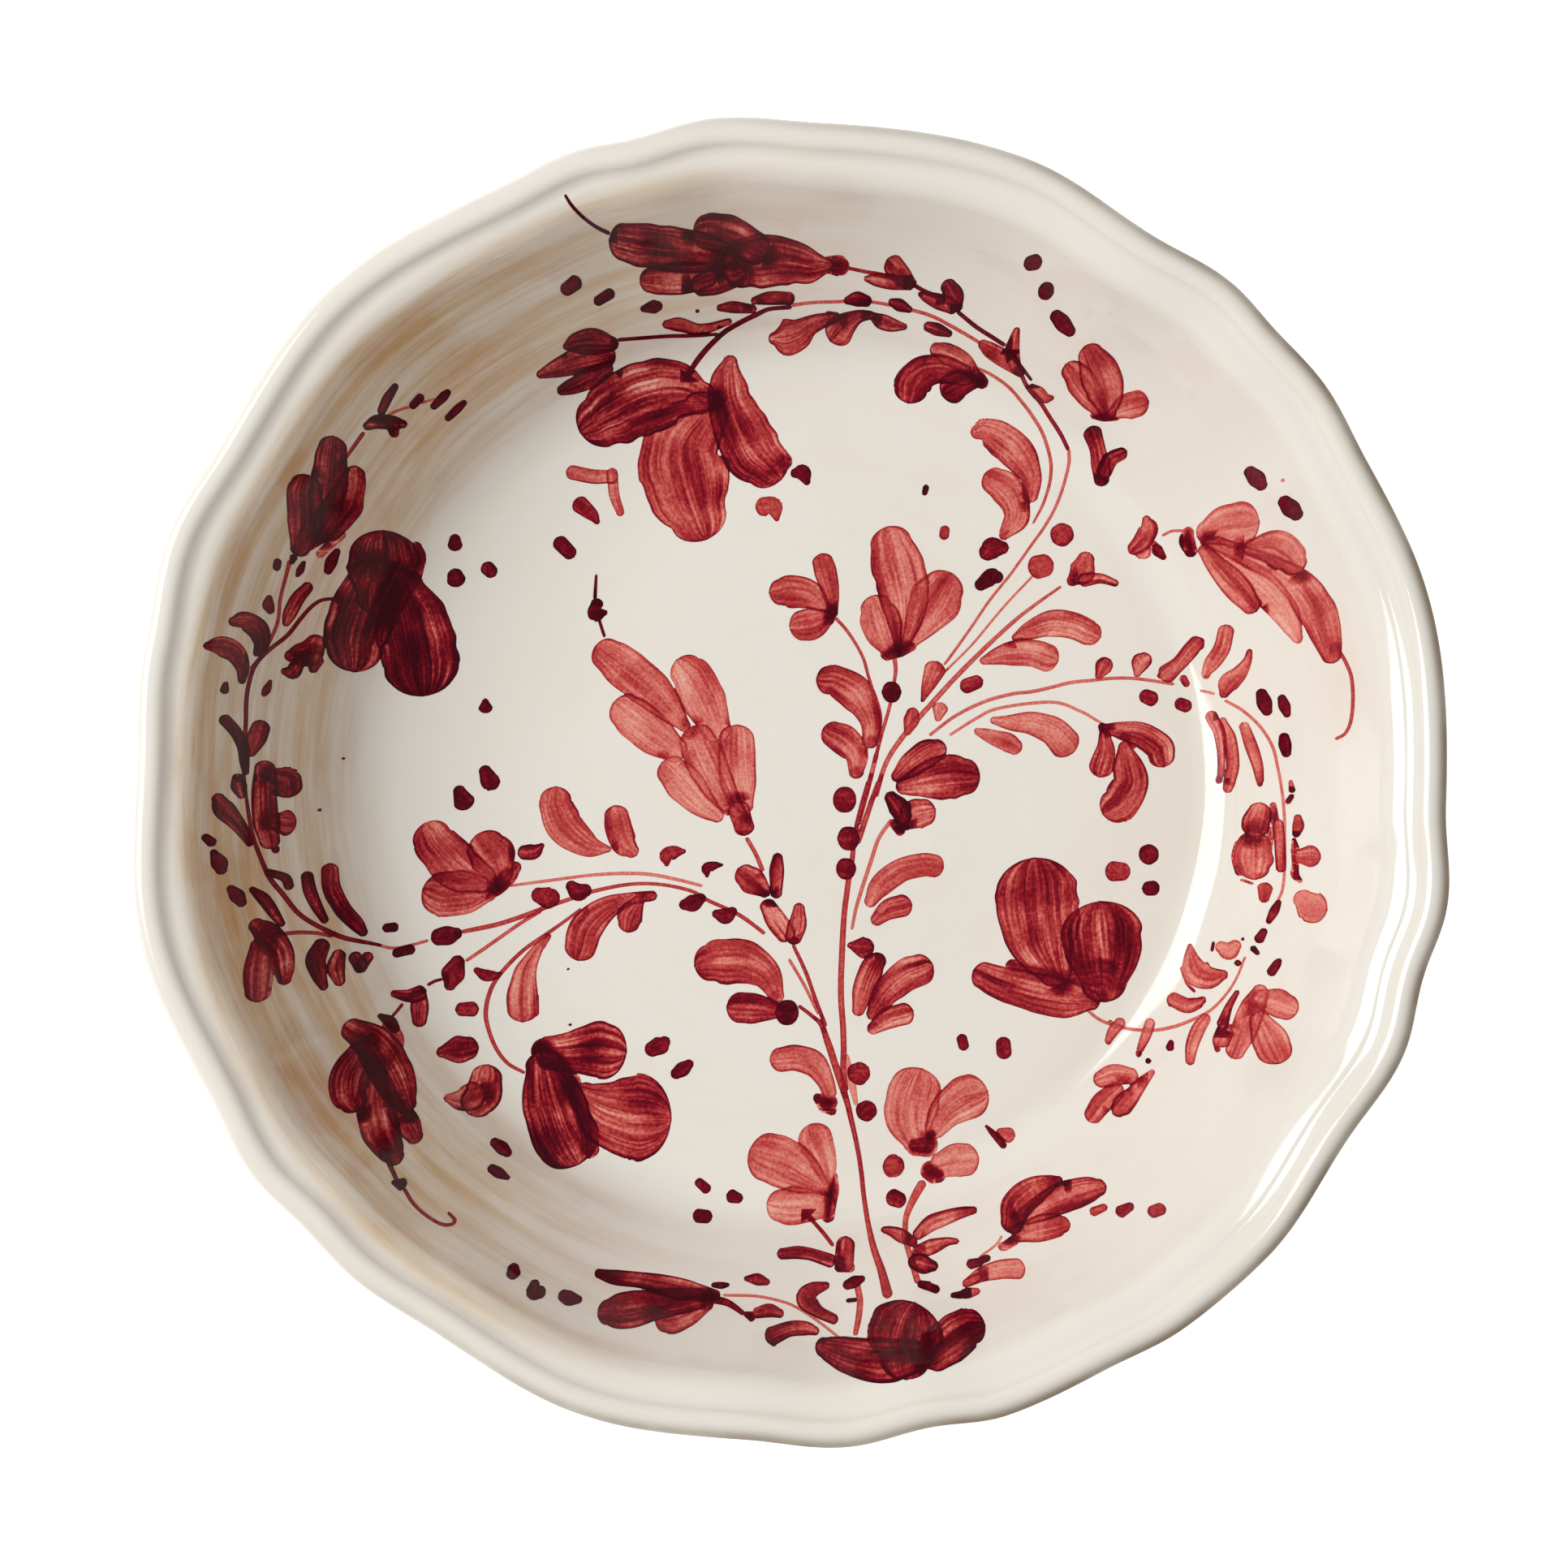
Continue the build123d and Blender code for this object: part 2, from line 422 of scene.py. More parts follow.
def paint_material(name):
    """Pigment under the glaze: its thickness picks the colour, from a pink wash to near black."""
    nodes = Nodes(name)
    place, unrolled, _ = round_coordinates(nodes)
    grain = nodes.ranged(nodes.noise(place, 1500.0, detail=2.0), 0.25, 0.75, -0.05, 0.05)
    pigment = nodes.maths("DIVIDE", nodes.attribute("pigment"), PIGMENT_FULL)
    ramp = nodes.add("ShaderNodeValToRGB")
    stops = ramp.color_ramp.elements
    # a new ramp has its two end stops already
    for where, _ in PIGMENT_COLOURS[1:-1]:
        stops.new(where)
    for stop, (_, colour) in zip(stops, PIGMENT_COLOURS):
        stop.color = (*colour, 1.0)
    nodes.join(nodes.plus(pigment, grain), ramp.inputs[0])
    nodes.join(ramp.outputs[0], nodes.shader.inputs["Base Color"])
    nodes.shader.inputs["Specular IOR Level"].default_value = PAINT_SPECULAR
    nodes.join(glaze_surface(nodes, place, unrolled), nodes.shader.inputs["Roughness"])
    return nodes.material


def clay_material(name):
    """Bare fired clay: matt tan with a fine grit."""
    nodes = Nodes(name)
    place = nodes.add("ShaderNodeTexCoord").outputs["Object"]
    grit = nodes.noise(place, 900.0, detail=4.0, roughness=0.7)
    clouds = nodes.noise(place, 30.0)
    tone = nodes.mixed(nodes.ranged(clouds, 0.3, 0.7), CLAY, CLAY_DARK)
    tone = nodes.mixed(nodes.ranged(grit, 0.55, 0.75), tone, GRIT)
    nodes.join(tone, nodes.shader.inputs["Base Color"])
    nodes.shader.inputs["Roughness"].default_value = CLAY_ROUGHNESS
    nodes.bump(grit, GRIT_HEIGHT)
    return nodes.material


# ---------------------------------------------------------------- the painting

# In millimetres. The canvas is a grid over the inside of the bowl, seen from above
PITCH = 0.25
CANVAS_HALF = 146.0
CANVAS_SIZE = int(2 * CANVAS_HALF / PITCH) + 1
NO_PAINT = -9.0
FAR = 1e9
SLOPE_STEP = 0.2
CUT_MARGIN = 0.02

# A brush stroke's path, its tips as a share of its half width, and how far round it is worked out
STATION_STEP = 0.35
CURVE_SHARES = np.linspace(0.0, 1.0, 13)[:-1, None]
DAB_LENGTH = 0.2
TIP = 0.8
MARGIN = 2.0
REACH = 1.6
MIN_WIDTH = 0.3
SIDE_GAP = 17

# Marks in a stroke: a random seed, sizes across or along it in millimetres, and a strength
LATTICE = 64
FAR_CELL = 300.0
SIDE_CELL = 31.0
WOBBLE_SEED, WOBBLE_LENGTH, WOBBLE = 500, 2.6, 0.10
FINE_WIDTH, FINE_LENGTH, FINE = 0.42, 9.0, 0.95
BROAD_SEED, BROAD_WIDTH, BROAD_LENGTH, BROAD = 900, 1.7, 16.0, 0.65
MOTTLE_SEED, MOTTLE_SIZE, MOTTLE = 1300, 0.6, 0.35
CLOUD_SEED, CLOUD_SIZE, CLOUD = 2900, 5.5, 0.75
RIM_SEED, RIM_LENGTH, RIM_WIDTH = 2100, 5.0, 0.42
RIM_LEAST, RIM_SPREAD, RIM_POOL = 0.35, 1.3, 0.35
STREAKED_WIDTH = 1.5
THINNEST = 0.05
OVERLAP = 0.28


def ease(share):
    """A share from 0 to 1 with a soft start and end."""
    return share * share * (3.0 - 2.0 * share)


def lattice(seed, across, along):
    """Smooth random values on a lattice, read at places given in lattice cells."""
    rng = np.random.default_rng(seed)
    table = rng.random((LATTICE, LATTICE))
    i, j = np.floor(across).astype(int), np.floor(along).astype(int)
    u, v = across - i, along - j
    u, v = ease(u), ease(v)
    corners = [table[(i + a) % LATTICE, (j + b) % LATTICE] for a in (0, 1) for b in (0, 1)]
    low = corners[0] * (1 - v) + corners[1] * v
    high = corners[2] * (1 - v) + corners[3] * v
    return low * (1 - u) + high * u


def smooth_path(stations):
    """Stations (x, y, half width) joined by a smooth curve, sampled at an even step."""
    if len(stations) == 1:
        stations = np.concatenate([stations, stations + (DAB_LENGTH * stations[0, 2], 0.0, 0.0)])
    if len(stations) == 2:
        dense = stations
    else:
        before = 2 * stations[:1] - stations[1:2]
        after = 2 * stations[-1:] - stations[-2:-1]
        p = np.concatenate([before, stations, after])
        t = CURVE_SHARES
        spans = []
        for a, b, c, d in zip(p, p[1:], p[2:], p[3:]):
            spans.append(0.5 * (2 * b + (c - a) * t + (2 * a - 5 * b + 4 * c - d) * t**2
                                + (3 * b - 3 * c + d - a) * t**3))
        dense = np.concatenate([*spans, stations[-1:]])
    length = lengths_along(dense)
    count = max(int(length[-1] / STATION_STEP), 2)
    places = np.linspace(0.0, length[-1], count + 1)
    return np.stack([np.interp(places, length, dense[:, k]) for k in range(3)], axis=1)


def lengths_along(path):
    """How far along a path each of its points is."""
    return np.concatenate([[0.0], np.cumsum(np.hypot(*np.diff(path[:, :2], axis=0).T))])


def capped(path):
    """A path with a rounded tip added at each end."""
    angles = np.linspace(0.0, np.pi / 2, 9)[1:]
    tips = []
    for end, beside in ((path[0], path[1]), (path[-1], path[-2])):
        way = (end[:2] - beside[:2]) / max(np.linalg.norm(end[:2] - beside[:2]), 1e-6)
        places = end[:2] + np.outer(np.sin(angles) * TIP * end[2], way)
        tips.append(np.column_stack([places, end[2] * np.cos(angles)]))
    return np.concatenate([tips[0][::-1], path, tips[1]])


def nearest_point(path, xs, ys):
    """The index of the path's nearest point at each grid place, or -1 out of its reach."""
    nearest = np.full((len(ys), len(xs)), FAR, np.float32)
    owner = np.full(nearest.shape, -1, np.int32)
    for index, (x, y, width) in enumerate(path):
        reach = width + REACH
        i0, i1 = np.searchsorted(xs, (x - reach, x + reach))
        j0, j1 = np.searchsorted(ys, (y - reach, y + reach))
        away = (xs[None, i0:i1] - x) ** 2 + (ys[j0:j1, None] - y) ** 2
        window = nearest[j0:j1, i0:i1]
        closer = away < window
        window[closer] = away[closer]
        owner[j0:j1, i0:i1][closer] = index
    return owner


class Canvas:
    """The inside of the bowl seen from above, as a fine grid of pigment thickness."""

    def __init__(self):
        self.pigment = np.zeros((CANVAS_SIZE, CANVAS_SIZE), np.float32)
        self.cover = None
        self.strokes = 0

    def new_layer(self):
        """Starts a film of its own for the strokes that follow."""
        self.cover = np.full((CANVAS_SIZE, CANVAS_SIZE), NO_PAINT, np.float32)

    def stroke(self, load, stations, fade=0.0, edge=1.0, streak=1.0, soft=0.0):
        """One brush stroke. Load is the pigment's thickness, fade what the far end gains, edge how
        much pools at the rim, and soft how far it bleeds into paint that lies under it."""
        self.strokes += 1
        path = capped(smooth_path(np.array(stations, float).reshape(-1, 3)))
        low = ((path[:, :2] - path[:, 2:] - MARGIN).min(axis=0) + CANVAS_HALF) / PITCH
        high = ((path[:, :2] + path[:, 2:] + MARGIN).max(axis=0) + CANVAS_HALF) / PITCH
        x0, y0 = np.maximum(low.astype(int), 0)
        x1, y1 = np.minimum(high.astype(int) + 1, CANVAS_SIZE)
        xs = np.arange(x0, x1) * PITCH - CANVAS_HALF
        ys = np.arange(y0, y1) * PITCH - CANVAS_HALF
        owner = nearest_point(path, xs, ys)
        reached = owner >= 0
        own = owner[reached]
        gx, gy = np.meshgrid(xs, ys)
        gx, gy = gx[reached], gy[reached]

        # each place along and across the stroke, and how far inside its edge
        way = np.gradient(path[:, :2], axis=0)
        way /= np.maximum(np.linalg.norm(way, axis=1), 1e-9)[:, None]
        length = lengths_along(path)
        dx, dy = gx - path[own, 0], gy - path[own, 1]
        along = dx * way[own, 0] + dy * way[own, 1]
        across = dx * -way[own, 1] + dy * way[own, 0]
        place = length[own] + along
        width = np.interp(place, length, path[:, 2])
        side = np.where(across > 0, SIDE_GAP, 0)
        wobble = lattice(self.strokes + WOBBLE_SEED, place / WOBBLE_LENGTH + side, side + 0.5)
        width = width * (1.0 + WOBBLE * (wobble - 0.5))
        inside = width - np.abs(across)
        beyond = (place < 0.0) | (place > length[-1])
        inside = np.where(beyond, -np.hypot(along, across), inside)
        slope = np.abs(np.gradient(path[:, 2]) / np.maximum(np.gradient(length), 1e-6))
        inside = inside / np.sqrt(1.0 + np.interp(place, length, slope) ** 2)

        # the marks of the brush's hairs, and the pool at the rim
        widest = path[:, 2].max()
        q = across / np.maximum(width, MIN_WIDTH) * widest
        fine = lattice(self.strokes, q / FINE_WIDTH + SIDE_CELL, place / FINE_LENGTH)
        broad = lattice(self.strokes + BROAD_SEED, q / BROAD_WIDTH + SIDE_CELL,
                        place / BROAD_LENGTH)
        mottle = lattice(self.strokes + MOTTLE_SEED, gx / MOTTLE_SIZE + FAR_CELL,
                         gy / MOTTLE_SIZE + FAR_CELL)
        cloud = lattice(self.strokes + CLOUD_SEED, gx / CLOUD_SIZE + FAR_CELL,
                        gy / CLOUD_SIZE + FAR_CELL)
        streaks = FINE * (fine - 0.5) + BROAD * (broad - 0.5) + CLOUD * (cloud - 0.5)
        strength = min(widest / STREAKED_WIDTH, 1.0) * streak
        tone = load * (1.0 + fade * (place / length[-1] - 0.5))
        tone = tone * (1.0 + strength * streaks + MOTTLE * (mottle - 0.5))
        rim = np.exp(-((np.maximum(inside, 0.0) / RIM_WIDTH) ** 2))
        uneven = lattice(self.strokes + RIM_SEED, place / RIM_LENGTH + side, side + 0.5)
        rim = rim * edge * (RIM_LEAST + RIM_SPREAD * uneven)
        tone = tone + rim * RIM_POOL * (1.0 + load)

        mask = np.clip((inside + 1.5 * PITCH) / PITCH, 0.0, 1.0)
        patch = self.pigment[y0:y1, x0:x1]
        under, over = patch[reached], np.maximum(tone, THINNEST) * mask
        if soft:
            bleed = np.clip(inside / soft, 0.0, 1.0)
            over = np.where(under > 0.0, over * ease(bleed), over)
        patch[reached] = np.maximum(under, over) + OVERLAP * np.minimum(under, over)
        cover = self.cover[y0:y1, x0:x1]
        cover[reached] = np.maximum(cover[reached], inside)

    def film(self, name, material, lift):
        """This layer's paint as a thin film that follows the glaze, cut along the strokes' edges."""
        verts, faces = cut_out(self.cover)
        gx = verts[:, 0] * PITCH - CANVAS_HALF
        gy = verts[:, 1] * PITCH - CANVAS_HALF
        pigment = sampled(self.pigment, verts)
        height = inside_height(gx, gy)
        step = SLOPE_STEP
        slope_x = (inside_height(gx + step, gy) - inside_height(gx - step, gy)) / (2 * step)
        slope_y = (inside_height(gx, gy + step) - inside_height(gx, gy - step)) / (2 * step)
        normal = np.stack([-slope_x, -slope_y, np.ones_like(slope_x)], axis=1)
        normal /= np.linalg.norm(normal, axis=1)[:, None]
        piece = make_mesh(name, np.stack([gx, gy, height], axis=1) + normal * lift, faces,
                          material)
        set_values(piece, "pigment", pigment)


def sampled(grid, verts):
    """A grid read at places given in cells."""
    i, j = np.floor(verts[:, 0]).astype(int), np.floor(verts[:, 1]).astype(int)
    u, v = verts[:, 0] - i, verts[:, 1] - j
    i1, j1 = np.minimum(i + 1, CANVAS_SIZE - 1), np.minimum(j + 1, CANVAS_SIZE - 1)
    low = grid[j, i] * (1 - u) + grid[j, i1] * u
    high = grid[j1, i] * (1 - u) + grid[j1, i1] * u
    return low * (1 - v) + high * v


def cut_out(cover):
    """Triangles over the part of a grid where cover is positive, cut along its zero line."""
    size = cover.shape[1]
    level = cover.ravel().astype(float)
    busy = np.zeros_like(cover, bool)
    wet = cover > 0
    busy[:-1, :-1] = wet[:-1, :-1] | wet[1:, :-1] | wet[:-1, 1:] | wet[1:, 1:]
    base = np.flatnonzero(busy.ravel())
    corners = np.concatenate([
        np.stack([base, base + 1, base + size + 1], axis=1),
        np.stack([base, base + size + 1, base + size], axis=1),
    ])
    wet_corner = level[corners] > 0
    count = wet_corner.sum(axis=1)
    keys = []
    whole = corners[count == 3]
    keys.append(np.stack([whole, whole], axis=-1))
    for wanted in (1, 2):
        chosen, flags = corners[count == wanted], wet_corner[count == wanted]
        odd = np.argmax(flags if wanted == 1 else ~flags, axis=1)
        rows = np.arange(len(chosen))
        a, b, c = (chosen[rows, (odd + k) % 3] for k in range(3))
        if wanted == 1:
            aa, ab, ac = (np.stack(pair, 1) for pair in ((a, a), (a, b), (a, c)))
            keys.append(np.stack([aa, ab, ac], axis=1))
        else:
            ab, ac, bb, cc = (np.stack(pair, 1) for pair in ((a, b), (a, c), (b, b), (c, c)))
            keys.append(np.stack([ab, bb, cc], axis=1))
            keys.append(np.stack([ab, cc, ac], axis=1))
    keys = np.concatenate(keys).reshape(-1, 2)
    keys.sort(axis=1)
    code = keys[:, 0].astype(np.int64) * (size * cover.shape[0]) + keys[:, 1]
    _, first, index = np.unique(code, return_index=True, return_inverse=True)
    start, end = keys[first, 0], keys[first, 1]
    a, b = level[start], level[end]
    share = np.where(start == end, 0.0, a / np.where(a == b, 1.0, a - b))
    share = np.clip(share, CUT_MARGIN, 1.0 - CUT_MARGIN) * (start != end)
    ends = [np.stack([k % size, k // size], axis=1).astype(float) for k in (start, end)]
    verts = ends[0] * (1 - share[:, None]) + ends[1] * share[:, None]
    return verts, index.reshape(-1, 3)


# ---------------------------------------------------------------- the strokes

# Each stroke is (load, (x, y, half width, x, y, half width, ...)), in the order that it is laid.

PALE_STEMS = (
    (0.5, (60, 51, .3, 53, 43.5, .3, 45, 34, .3, 38, 27, .3, 34, 22, .3)),
    (0.45, (77, 15, .35, 72, 17.8, .4, 65, 20, .4, 52, 18.5, .4, 46, 15.8, .4, 40, 12, .35)),
    (0.45, (-69, -25.5, .35, -60, -24.3, .4, -50, -23, .4, -42, -22.5, .45, -35, -22.7, .45,
            -28, -24, .45, -22, -25.5, .4)),
    (0.55, (25, -9.5, .5, 22, -14, .5, 20, -20, .5, 18, -26, .5, 16.5, -31, .45, 15.5, -36, .4)),
    (0.35, (14, -68, .8, 15.3, -74, 1.0, 16.4, -79.5, .6)),
    (0.6, (0, -44, .4, 3.5, -50, .4, 7, -57, .4)),
    (0.6, (92.5, 61.3, .35, 94.5, 62.2, .35, 97, 62.2, .35)),
    (0.4, (47, -116, .3, 50.5, -113.5, .3, 52, -111.5, .3)),
    (0.6, (69.2, 82, .45, 69.2, 79, .42, 68, 74, .4, 66, 68.5, .4, 63.2, 63.5, .38, 60, 59, .36,
           55, 52, .36, 49.8, 45.5, .36, 45, 38.5, .36, 40, 31.5, .35, 38.5, 29.5, .3)),
    (0.7, (46.5, 102.5, .35, 50, 100.8, .38, 54, 98, .4, 57, 94.8, .42, 60, 91, .45, 62.8, 86.3, .45,
           64.7, 80, .45, 64.6, 75, .42, 63, 69.5, .36, 60.5, 64.5, .3)),
    (0.7, (0, 117.6, .45, 5, 118.2, .4, 10, 118.4, .4, 20, 118.3, .38, 30, 116.3, .42, 35, 114.8, .42,
           40, 112.3, .42, 45, 109.5, .42, 49, 107, .4)),
    (0.6, (35, 12, .4, 41, 16.5, .42, 48, 20, .45, 55, 22, .45, 60, 22.6, .45, 65, 23.7, .45, 70, 24.9, .45,
           75, 25.4, .42, 80, 25.9, .42, 85, 25.9, .42, 90, 25.3, .42, 95, 24.5, .4)),
    (0.4, (102, 22.8, .35, 103.5, 22.5, .35, 105, 22.1, .35)),
    (0.5, (108, 20.3, .38, 112, 17.8, .38, 116, 13.8, .38, 118.8, 9, .38, 120, 4, .36, 121, -2, .36,
           121.5, -8, .36, 121.6, -14, .34, 121.6, -20, .34, 121, -26, .34, 119.8, -29, .34)),
    (0.9, (133.5, 32, .4, 135, 29, .42, 136.2, 25.5, .42, 136.6, 20, .42, 136.2, 15, .4, 135, 12, .4,
           133.2, 10.8, .4)),
    (0.55, (73.5, -56, .4, 76, -58.2, .42, 79, -59.7, .42, 84, -61, .42, 90, -61.3, .42, 95, -60.3, .42,
            100, -58.2, .4, 104, -55.8, .36, 107.5, -52, .32, 110, -48, .3, 112, -43, .28)),
    (0.5, (-16, -125.5, .32, -8, -125.8, .34, -2, -127, .34, 2, -128.5, .34, 7, -131.5, .34, 12, -135, .34)),
    (0.65, (-90, -39.2, .38, -94, -40.3, .4, -98, -41, .4, -102, -40.2, .4)),
    (0.7, (-91, 92.4, .34, -95.5, 91, .34, -98.5, 89.3, .34)),
    (0.6, (-85.5, 94.2, .3, -88, 93.6, .3, -90, 93, .3)),
)

STEMS = (
    # the main stem, from the root blossom to the centre
    (1.05, (23.9, -125, 1.3, 22.6, -120, 1.0, 20.8, -115, .85, 19.5, -109.5, .65, 18.4, -102.5, .6,
            17.7, -96, .6, 16.8, -90.5, .6, 15.6, -85, .65, 14.3, -79.5, .75, 12.9, -75, .85,
            11.3, -70, .9, 9.5, -64.5, .85, 7.8, -60, .6, 5.5, -57.8, .5, 2.5, -55.5, .45)),
    (0.95, (13.9, -76, .7, 13.3, -71, .75, 13.4, -66, .75, 13.2, -60, .75, 12.7, -52, .75, 13, -42, .75,
            13.5, -33, .72, 14.5, -25, .7, 15.5, -19, .65, 16, -14, .6, 17.5, -7, .6, 19.5, 0, .6)),
    (0.85, (17, -14.5, .7, 18.5, -10, .7, 20.5, -4, .65, 22, 0, .6)),
    (0.7, (67, 48.5, .35, 60, 43.5, .42, 55, 39.5, .5, 48, 33, .58, 41, 26, .62, 36, 20.5, .65,
           31, 15, .65, 28.5, 12, .65, 25, 7, .65, 23, 2.5, .62, 21.5, -3, .6)),
    (0.7, (21.5, 7, .6, 20.5, 3, .6, 19, -3, .6, 17, -10, .6)),
    (0.8, (22.3, 12, .4, 21, 21, .4, 19.5, 26.5, .4, 18, 31.5, .4, 14.5, 37.3, .42, 11, 41.3, .42)),
    (0.8, (21.5, 7, .45, 22.8, 12, .45, 24, 16, .45, 25, 19.8, .45, 26, 25.5, .45, 26.3, 28, .5,
           26, 30.8, .6)),
    (1.0, (8.8, -60, .5, 6.5, -54, .5, 4, -47, .5, 1, -40.5, .45)),
    (0.8, (-6.8, -21.5, .55, -8.5, -17.5, .55, -10.5, -14, .55)),
    (0.9, (-6.5, -37.2, .5, -8, -36, .5, -13, -32.5, .5, -20, -29.3, .48, -24, -27, .46, -30, -25.5, .45,
           -36, -25, .45, -42, -25.5, .46, -49, -27, .5, -55, -29, .52, -60, -30.7, .55, -66, -33, .58,
           -72, -35, .6, -78, -36.3, .58, -81, -36.9, .5)),
    (0.7, (-62, -32, .42, -67, -35, .45, -72, -38.5, .45, -76, -41.3, .45, -80, -44, .42)),
    (0.9, (-52, -31.5, .4, -56, -34.5, .42, -60, -37.3, .48, -66, -41.5, .5, -71, -46.5, .52, -74, -51, .55,
           -75.3, -56, .58, -75, -60, .55, -73, -65.5, .52, -70, -69.5, .48, -66, -71.8, .42)),
    (1.7, (-86.5, -48.8, .4, -88, -49.2, .4, -89.5, -50, .4)),
    (1.6, (-96, -55, .4, -97, -56.3, .4, -98, -57.5, .4)),
    (1.6, (-101.5, -40.2, .4, -106, -39.2, .55, -110, -38.2, .6, -114, -36.3, .6, -118, -34, .6,
           -121, -31.5, .6, -124, -27.5, .62, -127, -23.5, .62, -129, -19, .55, -131, -13, .5,
           -132, -7, .45, -132.8, 0, .4, -133, 6, .5, -132.5, 14, .5, -132.3, 20, .5, -131.5, 25, .5,
           -130, 29, .5, -127, 32.5, .5, -123, 36, .5, -120, 40, .5, -117.5, 43, .48, -115, 44.8, .45,
           -112, 45.3, .42)),
    (1.0, (-131, 28, .4, -128.5, 31.5, .42, -126.5, 35.5, .42, -125, 39.5, .42, -124.3, 45, .42,
           -123, 50, .42, -122, 53.8, .5)),
    (1.0, (-124.5, -37, .5, -120, -36.7, .5, -116, -37, .45, -113, -37.8, .4)),
    (1.2, (-109, 78, .4, -106.5, 81.5, .45, -104, 85, .5)),
    (1.9, (-98, -91.5, .6, -96.8, -94, .55, -95.3, -97, .5)),
    (1.3, (-93.5, -99, .45, -91.5, -102, .42, -88.5, -104.8, .4, -85, -107, .4, -82.5, -107.4, .4,
           -81.5, -106.5, .42, -83, -104.8, .35)),
    (2.4, (-44, 133.2, .5, -47, 134.5, .45, -50, 136.5, .45, -52.5, 139, .42, -54, 141.3, .36)),
    (1.9, (0, 117.2, .5, -5, 116.8, .5, -8, 115.6, .6, -12, 113.8, .6, -16, 111.5, .62, -20, 108, .68,
           -23, 104.5, .7, -24.8, 101.7, .6)),
    (2.0, (-42, 109.2, .45, -36, 109.8, .45, -30, 110.3, .45, -24, 110.5, .45, -18, 110.9, .4)),
    (1.2, (14.5, 126, .4, 18, 125.3, .42, 22, 124.6, .45, 26, 123.8, .45)),
    (1.9, (30, 122.3, .5, 33, 120.6, .5, 36, 119.5, .5)),
    (2.0, (41.5, 115.5, .5, 46, 112, .52, 50, 109.5, .52, 52.7, 107.8, .5)),
    (1.8, (55.5, 104.5, .45, 57.5, 102, .42, 59.5, 99.5, .36)),
    (1.35, (57.3, 100.3, .5, 59, 97.3, .5, 62, 94, .5, 64, 91, .52, 67, 86.5, .52, 68.9, 82.8, .5)),
    (0.85, (32.8, -99.5, 1.1, 31, -102.5, 1.0, 29.3, -106, .8, 28.6, -109, .7, 28.7, -113, .7,
            29.8, -117, .75, 31.3, -122, .8)),
    (0.8, (16.6, -123.5, .8, 17.2, -127, .8, 16.8, -130.5, .75, 16, -134, .6)),
    (1.3, (5, -107.8, .5, 8, -111, .5, 10.5, -114, .5)),
    (1.6, (-19, -126.3, 1.0, -15, -127.3, .8, -11.5, -129.5, .6)),
)

